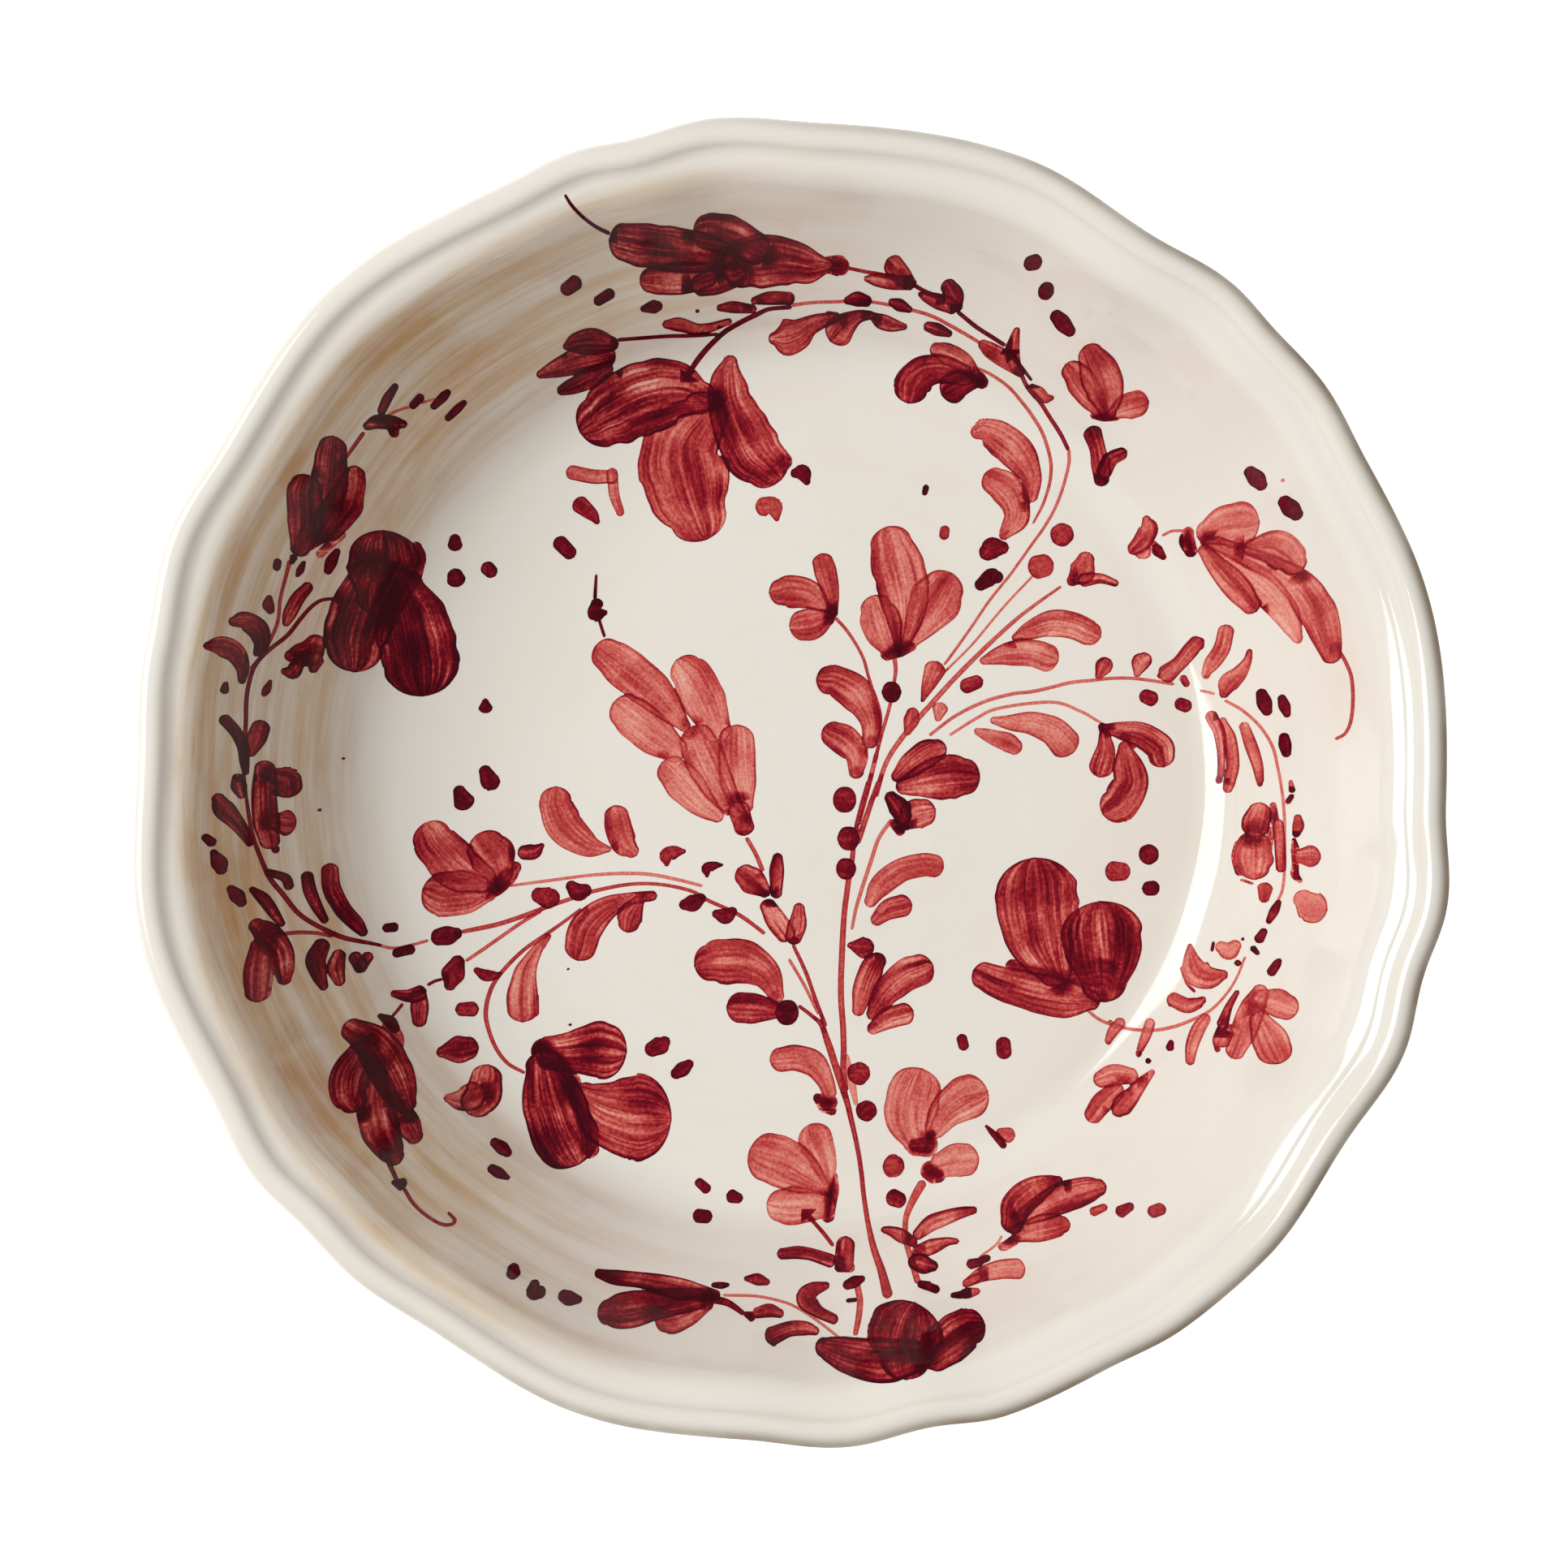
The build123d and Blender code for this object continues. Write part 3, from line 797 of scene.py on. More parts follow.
LEAVES = (
    # the comma strokes of the centre
    (0.72, (-26, 14, 1.5, -33, 22, 4.6, -41, 28.5, 5.2, -45.5, 32, 4.2)),
    (0.6, (-18, 13, 3.5, -21, 20, 5.3, -24, 26, 5.2, -25.7, 28, 4.3)),
    (0.6, (-28, 8, 3.0, -33, 11.5, 4.8, -38.5, 16, 5, -41, 18, 4.2)),
    (0.7, (-12, -8, 1.5, -17, -2, 3.8, -21, 6, 4.9, -23, 10.8, 4.3)),
    (0.6, (-11, -6, 2, -12.3, -2, 4, -13, 5, 4.6, -13, 11, 4.2)),
    (0.65, (-17.8, -8.3, 1.7, -22, -5, 3.6, -26.5, 0, 4.6, -29.5, 3, 3.8)),
    (1.3, (-12.5, -7, 2.6, -11.3, -11, 2.6)),
    # commas about the stems
    (0.85, (20, 10, 1.8, 20, 16, 3, 16.5, 22, 4.4, 11.5, 25.2, 3.9, 9.5, 25.5, 3.6)),
    (0.95, (16.5, 2.5, 1.8, 16.5, 7, 3, 13.5, 10.5, 3.8, 10.5, 12.2, 3.2)),
    (0.85, (33, 20.5, .5, 34.3, 24, 1.7, 36, 28, 2.7)),
    (0.9, (29.2, 12.5, .9, 30.2, 15.5, 2, 30.5, 17.3, 1.6)),
    (0.8, (36.8, 16, .9, 37.3, 18.3, 2)),
    (1.1, (43.8, 24, 1.9, 46.5, 25, 1.8)),
    (0.7, (46.5, 12.8, .9, 50, 11.5, 1.8, 54, 10, 2.4, 56, 8.8, 2)),
    (0.65, (50.5, 15.5, .9, 55, 14.9, 2, 60, 14.8, 2.9, 65, 13, 3.6, 68.3, 9.8, 3.9)),
    (0.7, (48, 30.3, 1.0, 54, 32, 2.9, 60, 32.2, 3.4, 64, 31, 3.4)),
    (0.82, (56, 36, 1.0, 60, 38, 2.4, 65, 39.5, 3.4, 70, 39, 3.4, 74, 37.3, 3.2, 75, 36.9, 2.8)),
    (0.9, (59.8, 71, 1.8, 59.8, 76, 2.8, 57, 81, 4.2, 52.5, 85.2, 4.4, 48.3, 87.2, 3.2, 46.4, 86.9, 1.8)),
    (0.72, (53.5, 62, 1.6, 56, 65.5, 3.2, 56, 69, 3.5, 53.5, 73, 4.1, 50.5, 75, 3.4)),
    (0.75, (-54, 77, 1.8, -49, 76, 1.8, -44, 76, 1.6)),
    (0.75, (-44, 77, 1.3, -43.5, 71.5, 1.3, -42, 67, 1)),
    (1.15, (-4, 110, 1.5, -1.2, 110, 4.3, 2, 111, 3.8, 5, 113, 2.4, 8.5, 114.3, 1.7, 11.5, 115, 1.0)),
    (1.4, (12.1, 111.4, 3.6, 14, 113.3, 2.9, 17, 115, 1.6, 20, 115.3, 1.0)),
    (0.8, (-45, -16.5, .8, -50, -15.5, 3, -55.5, -11, 4.6, -57.8, -6, 4.3, -58, -4, 3.8)),
    (0.85, (-39, -17, 1.8, -41, -15, 3.2, -42.5, -11, 3.4, -43, -8, 3)),
    (1.1, (-34, -28, 1.3, -40, -28.8, 1.6, -46, -31.5, 3.2, -50.5, -36, 4.2, -52, -41, 3.9)),
    (1.0, (-37.5, -29.5, 1.5, -39.5, -33, 3.2, -40, -35, 2.6)),
    (0.95, (-3, -53, 1.8, -6, -47.5, 4, -11.5, -44.5, 5.5, -17.5, -44.3, 5.6, -20, -44.7, 4.6)),
    (1.15, (-3, -56.5, 2, -8, -56, 3.6, -12.5, -55.8, 3.9)),
    (0.85, (-60.5, -38.5, .9, -63, -42, 1.5, -65.5, -47, 2.8, -66.3, -53, 3.9, -66.2, -56.2, 3.9)),
    (0.7, (20, -29.5, 1.6, 22.5, -25.5, 2.8, 27.5, -21.8, 3, 33, -20.4, 2.9, 36, -20.6, 2.8)),
    (0.9, (21.5, -34, 1.6, 24.5, -31.5, 2.6, 28, -30.5, 2.9)),
    (1.4, (15, -40.3, .8, 18, -40.8, 2.7, 19, -40.8, 2.4)),
    (1.05, (17, -56.5, 1.6, 18.5, -51, 2.8, 20.5, -46, 3, 22, -44, 2.2)),
    (1.1, (20.5, -57.5, 1.6, 24, -52, 3.4, 28.5, -48, 4, 32.5, -46.3, 4)),
    (1.0, (20.5, -61, 1.5, 24.5, -58.5, 2.6, 28.5, -57.3, 2.8)),
    (0.72, (9.9, -77, 1.8, 8.6, -73.5, 2.3, 6, -69.8, 3.2, 2, -68.3, 3.3, -2.5, -68.6, 3.0)),
    # the long leaves on the lower stems
    (1.0, (31.5, -111.5, 1.3, 35, -108.8, 1.9, 39, -107.2, 1.7, 43, -106, 1.3, 45.5, -105.5, .9)),
    (1.1, (31.5, -115.5, 1.6, 35, -114.2, 1.8, 38.5, -113, 1.1, 41, -112.8, .7)),
    (1.1, (30.5, -113.3, 1.2, 27.5, -111.8, 1.7, 25, -110.8, 1.2, 23.3, -110.5, .8)),
    (1.7, (30.5, -117.8, 1.7, 33, -118.3, 2.2, 35.3, -118.6, 1.3)),
    (0.6, (43.3, -122.3, 1.0, 47, -120.3, 1.7, 51.5, -119, 2.2, 55.5, -118.7, 2.4)),
    (0.8, (43, -122.5, .9, 46, -121, .9)),
    (1.3, (9, -123.4, .9, 5.5, -124.5, 1.9, 4.2, -126.5, 2.6, 7, -129.3, 1.5, 10.8, -131, 1.2)),
    (1.35, (6.3, -133.6, 1.0, 4, -133, 1.6, 0, -133.1, 1.8, -4.3, -134.6, 2.1)),
    (1.3, (-2.3, -129.7, 1.0, -5, -129, 1.6, -8, -129.5, 1.3)),
    (1.5, (-2, -116.2, 1.3, 2, -115.9, 1.5, 6, -116.5, 1.5, 10, -117.8, 1.6)),
    (1.2, (13.3, -118.2, 2.4, 13.8, -114, 2.3)),
    # the top row
    (1.6, (-30.5, 113, 1.0, -27, 113, 1.7, -22, 112, 1.3, -15, 113.9, .8)),
    (1.6, (-17.3, 117, .8, -14, 117.2, 1.4, -9, 116.8, 1.0)),
    (1.6, (-8.8, 118.7, .9, -5, 119.3, 1.6, 0, 119.2, 1.5)),
    (1.8, (14.2, 118.7, 1, 16.5, 119, 1.8, 19, 118.5, 1.4)),
    (1.8, (25, 118.2, .9, 27, 117.5, 1.5, 29.5, 116.4, .8)),
    (1.7, (34, 112.5, 1.2, 36.5, 111.7, 1.5, 39.3, 110.7, .9)),
    (1.6, (20.5, 115, 1.0, 22.5, 113.9, 1.8, 25, 113, 1.7, 28.3, 112.5, .8)),
    (0.9, (59.7, 97.6, 1.0, 61.3, 96.3, 1.6, 63.2, 95, 1.3, 64.6, 95, .7)),
    # the right wall
    (0.85, (76.7, 26.5, 1, 77.8, 28.6, 2.1, 78.4, 29.4, 2.0)),
    (0.95, (86.2, 27, .9, 87, 29.6, 2.4, 88.2, 30.6, 1.9)),
    (0.8, (93.5, 27, 2.3, 96.5, 29.5, 1.9, 99, 32.5, 2.0, 100.8, 34.7, 1.9)),
    (0.85, (103, 27, 1, 104.5, 29.5, 1.9, 106.8, 33, 2.0, 107.8, 37.5, 1.9)),
    (0.9, (107.5, 22, 1.2, 108.5, 24.5, 2.4, 111, 27, 1.9, 112.8, 30, 1.1, 113.3, 32.3, .7)),
    (0.75, (104.5, 16.5, 1.6, 106.5, 12, 1.4, 107, 6, 1.0, 106.8, 2, .9)),
    (0.8, (107.3, 15.5, .8, 109, 11, 1.5, 109.7, 5, 1.6, 109, .5, 1.5, 108.5, -1.5, 1.2)),
    (0.8, (112.3, 14, 1.2, 114, 9, 1.5, 115.5, 4, 1.3, 116, .5, .9)),
    (0.75, (99.2, -40.5, .7, 99.5, -43.5, 2, 100.5, -46.5, 3.4, 103.5, -48, 3, 107, -47.3, 1.2)),
    (0.6, (106.5, -40.5, 1.5, 108.3, -41.5, 2.2, 110, -40, 1.4)),
    (0.8, (95, -53.7, 1.9, 98, -55, 1.9, 100.5, -54.5, 1.5, 102, -53.5, .8)),
    (0.7, (82, -59.5, 1.4, 80.3, -61.5, 1.4, 79, -64, .9)),
    (0.75, (89.3, -59.5, 1.3, 88.3, -62.5, 1.3, 86.8, -66, .9)),
    (0.85, (102.5, -58, 1.3, 100.5, -61, 1.6, 99, -65, 1.5, 98.5, -68.5, 1.1)),
    (1.2, (110, -51.5, .6, 108, -55, .9, 106.4, -59.3, 1.4)),
    (0.7, (106.8, -61, 2.0, 105.8, -63.3, 2.0)),
    (0.75, (117, -26, 1.8, 116.7, -28.5, 1.2)),
    # the left wall
    (1.9, (-113.5, -21.5, 2, -113, -26, 2.2, -110.5, -31, 2.1, -107, -35, 1.8, -105.5, -37, 1.2)),
    (2.0, (-118.7, -23, 1.5, -118, -26.5, 1.6, -116.3, -30.5, 1.4, -114.5, -33.8, 1.0)),
    (2.1, (-131, -26, .8, -128.5, -28.3, 1.5, -126, -32, 1.3, -124.3, -34.5, .9)),
    (2.1, (-138.5, -3.8, 1.5, -137.3, -6.3, 2.4, -134.7, -9.5, 1.9, -132.5, -13, 1.3, -131.7, -14.8, .9)),
    (2.1, (-134.3, 1.2, 1.3, -134, -1, 1.8, -133.5, -3, 1.0)),
    (1.9, (-137, 15.3, 1.4, -134.8, 12.5, 1.4, -133.3, 9, 1.2, -132.8, 5, 1.1, -132.5, 2.5, .7)),
    (1.5, (-131.5, 7.5, 1.4, -130.3, 10.5, 2.2, -129.2, 13.5, 2.2)),
    (1.9, (-140.5, 33, 1.0, -137.5, 33, 2.4, -134.5, 31.5, 2.4, -133, 28, 1.6, -133.2, 24.8, .9)),
    (1.85, (-134.8, 39, 1.2, -132.3, 39.3, 2.3, -129.5, 37.3, 2.6, -128.8, 34, 1.8, -129.8, 31.5, .9)),
    (1.5, (-118, 48, 1.3, -120.3, 45.3, 1.6, -122.3, 41.5, 1.6, -123.2, 39, .9)),
    (2.3, (-99.5, 90.5, 1.0, -98, 93.5, 1.1, -96, 96.5, .8)),
    (2.1, (-103, 86.8, 1, -100.5, 88, 1.7, -97, 88, 1.7, -94.5, 87.8, 1.0)),
    (2.0, (-97, 87, 1.6, -96.8, 85.5, 1.2)),
)

PETALS = (
    # the big blossom at the top
    (1.55, (-22, 95.5, 4, -28, 97, 7.8, -36, 95.5, 9, -44, 91.5, 8.2, -47.5, 89.5, 6.5)),
    (1.0, (-21, 91.5, 6, -26.5, 84, 10, -26, 76, 11, -24.4, 70, 9.7, -22.7, 65.5, 7)),
    (1.25, (-14.7, 104.5, 1.8, -15.3, 100, 4.3, -14.8, 95, 5.3, -12.5, 89, 6.5, -9, 82, 7.5, -5.5, 78.5, 6)),
    # the top feather
    (1.5, (9, 126.6, 1.8, 5, 126.6, 4, 0, 127.5, 5.1, -6, 127.7, 6, -12, 127, 5.5)),
    (1.6, (-8, 130.5, 3.5, -13, 133, 4.2, -18, 134, 4.2, -20.5, 134, 3.7)),
    (1.8, (-16, 129, 3, -25, 129.8, 4.8, -35, 130.6, 4.9, -40.5, 131.3, 4.2)),
    (1.5, (-20, 124.5, 2.6, -26, 123.5, 3.6, -32, 123, 3.3, -34.5, 123, 2.8)),
    (1.5, (-13, 124.5, 2.6, -18, 123, 2.9, -22, 122, 2.4)),
    # the left blossom
    (1.9, (-103, 50, 6, -105.5, 42, 7.6, -107.4, 36, 7.3, -107.6, 32.7, 6.6)),
    (1.75, (-96, 48, 5.5, -93.5, 40, 9, -91.7, 31, 9.5, -91.4, 28.8, 9.2)),
    (1.7, (-101, 46, 6, -100.2, 52, 9, -100.2, 55.5, 8.4)),
    # the left feather
    (1.6, (-114, 64, 3.0, -112.6, 71, 4, -111.5, 78, 3.7, -111, 81.5, 3.2)),
    (1.5, (-113, 62.5, 3.5, -109, 68, 4.2, -106.7, 73, 2.9, -106.2, 75.5, 2.3)),
    (1.55, (-119.5, 57, 2.2, -118, 63, 3.9, -118, 70, 3.8, -117.6, 72.2, 3.2)),
    (0.8, (-119.8, 56.5, 1.4, -116, 61, 3.2, -112.5, 64.5, 3.4)),
    # the lower left blossom
    (1.6, (-60, -67, 4, -54, -66.8, 5.3, -48, -66.3, 7.0, -46.2, -66.4, 7.2)),
    (1.25, (-51, -78, 4, -46, -81, 8, -40, -82.8, 10.6, -38, -83, 10.8)),
    (1.75, (-61, -70, 4.5, -59.2, -78, 7.4, -56.5, -86, 8.0, -55, -89, 7.8)),
    # the lower left feather
    (1.75, (-107.5, -60.5, 2.8, -102.5, -64, 4.4, -98.5, -70, 5.0, -95.5, -76, 3.9, -94, -79, 2.4)),
    (1.7, (-105, -66.5, 3.5, -107.5, -71.5, 4.6, -107.6, -75.8, 4.3, -106.5, -78, 3)),
    (1.5, (-102, -72, 3, -101.5, -79, 4.3, -99.8, -85, 4.3, -97.2, -89.8, 3.2, -96.3, -91.3, 2.3)),
    (1.4, (-96, -80, 2.6, -93.5, -83.8, 2.9, -91.8, -86.7, 2.0)),
    # the blossom under the left wall
    (1.0, (-76, -24, 3.5, -82, -21, 5.8, -87.5, -15.5, 5.6, -88.8, -13.5, 4.9)),
    (0.9, (-72, -22.5, 3.5, -73.5, -18.5, 5.8, -75.3, -16, 4.9)),
    (1.0, (-75, -26.5, 3, -80, -27.2, 5.2, -86, -27.7, 5.6, -87, -27.6, 5.3)),
    # the right blossom
    (1.2, (66, -47, 4, 63, -40, 8.5, 61.6, -32, 10.2, 61.2, -26.5, 9.9)),
    (1.35, (78, -50, 5.5, 78, -43, 9.2, 77.5, -37.3, 9.9)),
    (1.15, (75, -54, 2.5, 68, -53.5, 4.8, 60, -51.8, 4.8, 52, -49.5, 4.2, 48, -47.7, 3.4)),
    # the lower centre blossom
    (0.6, (31.5, -89, 3.5, 30, -84, 6, 30.3, -79, 6.7, 31.3, -75.7, 6.3)),
    (0.7, (36, -86, 2.5, 39, -81.5, 4.3, 43, -78.5, 5.5, 45, -77.8, 5.4)),
    (0.55, (37.5, -94.8, 3.2, 41, -93.7, 4.2, 43.6, -93.4, 4.1)),
    # the pale blossom left of the stem
    (0.6, (9.8, -99, 1.4, 8.8, -95, 2.9, 7, -90, 4.1, 6.3, -87.8, 4.2)),
    (0.65, (8.5, -100.5, 1.8, 4, -97.5, 4.6, -1, -94.5, 6.3, -5.5, -92.8, 6.0)),
    (0.65, (9, -105, 2.8, 4, -104.8, 4.3, 0, -105, 4.6, -2.5, -104.7, 4.0)),
    # the root blossom
    (1.6, (28, -139, 6, 28, -135, 9.0, 28.2, -134, 9.3)),
    (1.7, (35, -138, 4.2, 38.5, -135.3, 5, 43, -132.4, 4.6, 44.3, -131.9, 3.8)),
    (1.7, (30, -138.5, 3.5, 23, -139.8, 4.9, 16, -139.2, 4.5, 10, -137.6, 3.0, 8, -137, 2.2)),
    # the bottom feather
    (1.5, (-18, -125.5, 1.2, -27, -123.8, 2.4, -36, -121.9, 1.9, -43, -121, 1.7, -46.8, -120, 1.1)),
    (1.45, (-22, -126.3, 2.2, -30, -127, 3, -37, -128, 4, -42, -128.6, 3.8, -44.5, -128.7, 2.8)),
    (1.15, (-20, -127.3, 1.6, -24.5, -129, 3.2, -28.5, -130.4, 3.5, -30.5, -130.6, 2.9)),
    # the right feather
    (0.5, (102.5, 61.5, 2.8, 106.5, 63, 5, 110.3, 63.3, 5.4)),
    (0.75, (113, 57.5, 2, 118, 57.5, 4.2, 121.7, 55, 3.9, 123, 53.3, 2.9)),
    (0.7, (105, 59, 1.5, 112, 55.5, 2.2, 119, 52, 2.8, 124.5, 47.8, 3.8, 128.5, 41.5, 4.2, 130.7, 35, 3.3,
           131.8, 30.8, 2.2)),
    (0.45, (104, 58.5, 1.5, 110, 52.8, 3, 116, 47.8, 3.6, 120.5, 42.5, 3.2, 123, 38, 2.2, 124.2, 35.2, 1.2)),
    (0.75, (102, 57.5, 1.4, 105, 53.5, 2.3, 109.5, 48.5, 3.1, 113.5, 43.5, 2.3)),
    # the butterfly blossom at the upper right
    (0.85, (78.3, 91, 1.8, 77.8, 95.5, 4.2, 76, 100.5, 4.6, 73.5, 104.8, 3.0)),
    (0.9, (77, 91, 1.5, 74.5, 94.5, 3.0, 71.5, 98.5, 3.4, 69.2, 101.3, 2.6)),
    (0.8, (79.5, 90.8, 1.4, 82.5, 92.3, 3, 85.3, 92.9, 3.2)),
    # the blossom inside the top stem
    (1.3, (43, 101, 2.4, 38, 102.3, 3.2, 33.5, 101.8, 4.1, 30.5, 99, 4.4, 30, 97.3, 4.0)),
    (1.0, (46.5, 100.5, 1.2, 43, 104, 2.2, 39, 106.2, 2.4, 36, 107.2, 1.6)),
    (1.3, (45.5, 99.3, 1.8, 42.5, 98.8, 3.2, 40.3, 97.6, 3.7)),
    # the blossom on the right wall's foot
    (1.05, (78.5, 13.5, 1.2, 82, 13, 2.2, 87, 12, 3.1, 91.5, 9, 3.6, 92.3, 6.5, 3.3)),
    (1.2, (78, 12, 1.3, 78.3, 8, 2.4, 77.2, 3.8, 3.0)),
    (1.0, (83, 9, 1.6, 84, 4, 3.9, 84.5, 0, 4.4, 82, -4.8, 4.8, 80.5, -6, 4.2)),
    # the lower right flower
    (0.7, (84.5, -72.5, 2, 80.5, -72.3, 2.7, 77, -73.5, 2.1)),
    (0.7, (89.5, -71.5, .7, 86, -75.5, 1.6, 82.5, -79.5, 2.4, 81, -81, 1.7)),
    (0.75, (81, -76, 2, 77.5, -79, 2.6, 75, -82.3, 2.2)),
    (1.4, (54.5, -108.5, 2.6, 56, -104, 3.6, 60, -100.6, 3.3, 64, -98.6, 1.9, 66.3, -98, 1.1)),
    (1.05, (58, -106.5, 2, 63, -104, 3, 68.5, -101.5, 3.6, 73.5, -99.8, 3.0, 76, -99.2, 2.0)),
    (0.85, (56, -110.8, 1.9, 61, -109.5, 2.9, 65.5, -108.5, 2.7, 67, -108.2, 2.0)),
    # the sprays of the right wall
    (0.95, (116, -7, 2.6, 115.2, -9.5, 3.3, 114.9, -10.8, 3.2)),
    (0.75, (114.5, -15, 3.8, 114.5, -19, 4.6, 114.5, -21, 3.6)),
    (0.8, (120.2, -10, 1.2, 120.5, -15, 1.3, 120.7, -21, 1.2)),
    (0.85, (125, -18, 1.8, 127, -18, 2.7, 127.5, -18, 2.7)),
    (0.5, (125.5, -28.3, 2.4, 127.3, -30.2, 3.9, 127.8, -30.4, 3.9)),
    (0.7, (115.5, -51, 1.8, 113, -56, 2.9, 110.8, -61.5, 2.9, 109, -65.8, 2.2)),
    (0.65, (115.5, -53, 2.2, 119, -53.8, 3.6, 121.3, -54.7, 3.2)),
    (0.65, (115, -58, 2.4, 116.8, -62, 4.2, 118, -65, 4.2)),
    # small flowers
    (0.8, (11, 42, 1, 10.3, 47, 2, 9, 52, 2.8, 8.2, 54.8, 2.6)),
    (0.8, (9, 43.5, 1.2, 5, 46.5, 3.6, 0, 47.5, 4, -2.5, 47.3, 3.2)),
    (0.8, (9.5, 41, 2, 6, 39.5, 4, 3, 39, 3.8)),
    (0.75, (28, 35, 2, 28.5, 42, 5, 28, 49, 6.5, 26.3, 55.5, 6.3, 25.2, 59.5, 5.2)),
    (0.75, (29.5, 34.5, 1.8, 33, 40, 4.5, 36.5, 45.5, 6.3, 38.3, 48.5, 5)),
    (0.95, (25.5, 32.5, 2.2, 23.5, 37, 4.6, 22, 41.5, 4.8, 21.3, 43.5, 3.8)),
    (1.1, (26.5, 1.5, 1.5, 30, 4.5, 3, 34, 7.3, 3.4, 36.8, 8.3, 2.6)),
    (1.25, (28, -1, 2, 34, .5, 4.5, 40, 1.5, 5.6, 43.5, 1.5, 4.6)),
    (1.0, (28.5, -10, 2, 31, -8, 3.8, 33.5, -7.3, 3.4)),
    (1.7, (25, -3.5, 1.6, 27, -6, 2.6, 28, -8.5, 2)),
    (1.1, (-6, -27, 1.6, -9, -24.5, 3.4, -11.2, -22.8, 2.8)),
    (1.6, (-3.3, -27.5, 1.4, -3.2, -22, 1.9, -3, -18.5, 1.3)),
    (1.2, (-5.5, -30.5, 2, -3.5, -34, 2.6, -1, -37.5, 2.4)),
    (1.1, (1, -38.5, 2, 2, -35, 2.2, 2.3, -31, 1.4)),
    (1.8, (-43.5, 108.3, 1.6, -48, 108.8, 3.0, -52.5, 108.3, 2.3, -55, 107.3, .9)),
    (1.5, (-45, 105.5, 2.5, -51, 104.3, 3.2, -57, 102.3, 2.3, -61.5, 100.6, 1.0)),
    (1.7, (-45, 102.5, 1.6, -49.5, 100, 2.4, -54, 98, 1.9, -56.5, 97, 1.2)),
    (1.2, (30, 122.3, 1.2, 27.8, 124, 2.2, 25.3, 126.6, 2.5)),
    (1.2, (29.5, 122, 1.2, 25, 122.7, 1.7, 21, 123.4, 1.5, 18.8, 123.6, .7)),
    (1.5, (41, 116.8, 1.5, 40.3, 119.3, 2.4, 38.8, 121.6, 1.9)),
    (1.1, (40, 116.7, 1.6, 36.5, 118.2, 1.9, 33.5, 119.2, 1.2, 32, 119.9, .6)),
    (0.85, (57, 101, 1, 53.5, 104, 2.0, 49.5, 106.6, 1.9, 47.5, 108, 1.2)),
    (0.8, (56, 102, 1.2, 54.8, 106, 1.8, 55.2, 109, 1.3, 55.7, 111, .8)),
    (1.35, (77.3, 75, 1.9, 76.8, 79, 2.2, 76, 83, 1.9, 74.8, 86.3, 2.2)),
    (1.4, (78, 77, 1.8, 79.5, 80, 1.8, 82, 81.3, 1.5)),
    (0.9, (70, 50, 1.4, 72.3, 52.3, 3.2, 73.5, 55.5, 2.2)),
    (1.4, (73, 50.2, 1.6, 77, 50.7, 1.3, 80.8, 49.5, .9)),
    (0.85, (88.3, 65.3, 1, 88.9, 63, 2.3, 87.5, 60, 2.4, 85.3, 58, 1.7)),
    (0.5, (88, 59, 1.6, 87.4, 57.3, 2.2)),
    (1.4, (-66, -17.3, 1.8, -63.3, -17, 1.9, -61.5, -15.6, .7)),
    (1.4, (-86.3, -66.7, 1.4, -82.5, -66.2, 3.4, -79.5, -65.7, 2.9)),
    (1.3, (-75.2, -73, 3.9, -75.8, -77, 4.6, -77.5, -79.3, 3.9)),
    (1.0, (-84.5, -77.8, 1.0, -81.5, -78.3, 2.6, -78.5, -77.5, 3.4)),
    (1.7, (-98, -52.2, .9, -94.5, -52.8, 1.6, -91.5, -52, 1.8)),
    (1.4, (-91.8, -51.8, 1.7, -91.7, -55.5, 2.3, -91.7, -59, 1.8)),
    (1.6, (-128.3, 3.5, 2.4, -128.5, -2, 2.8, -128.2, -9, 2.9, -127.2, -14.3, 2.4)),
    (1.5, (-125.5, 1.5, 2.2, -123.7, .8, 3.3, -123.4, -.8, 3.6)),
    (1.4, (-125.5, -9.5, 2.2, -123.8, -9.8, 3.2)),
    (1.7, (-130, -34.7, 1.9, -127.5, -37, 3.2, -124.5, -41, 3.0, -123.6, -45, 2.6, -123.3, -48, 1.6)),
    (1.5, (-128.3, -40, 3, -129, -46, 3.4, -129, -50.8, 2.9)),
    (1.9, (-115, -40, 2.0, -116.3, -43.5, 2.4, -115.5, -47, 1.9, -114.3, -50, 1.1)),
    (1.9, (-111, -42.5, 1.7, -111.6, -45.5, 2.2, -110.7, -48.8, 1.4)),
    (2.0, (-107.3, -43, 1.6, -105.8, -45.5, 1.7)),
    (1.2, (-104.3, -43, 1.4, -105.8, -45.5, 1.4)),
    (1.4, (-116.3, 34.5, 2.3, -118, 32, 3.2, -120.5, 31.5, 2.6, -122.5, 31, 1.4)),
    (1.5, (-116.8, 30, 2.2, -117.2, 27.9, 1.1)),
    (1.8, (-120.8, 29, 1.6, -122, 27.3, 1.9, -123.8, 27.3, .9)),
    (2.2, (-127.5, -22, 1.0, -125.5, -22.5, 1.0, -123.5, -23.5, 1.2, -122.8, -25.3, 1.2)),
)

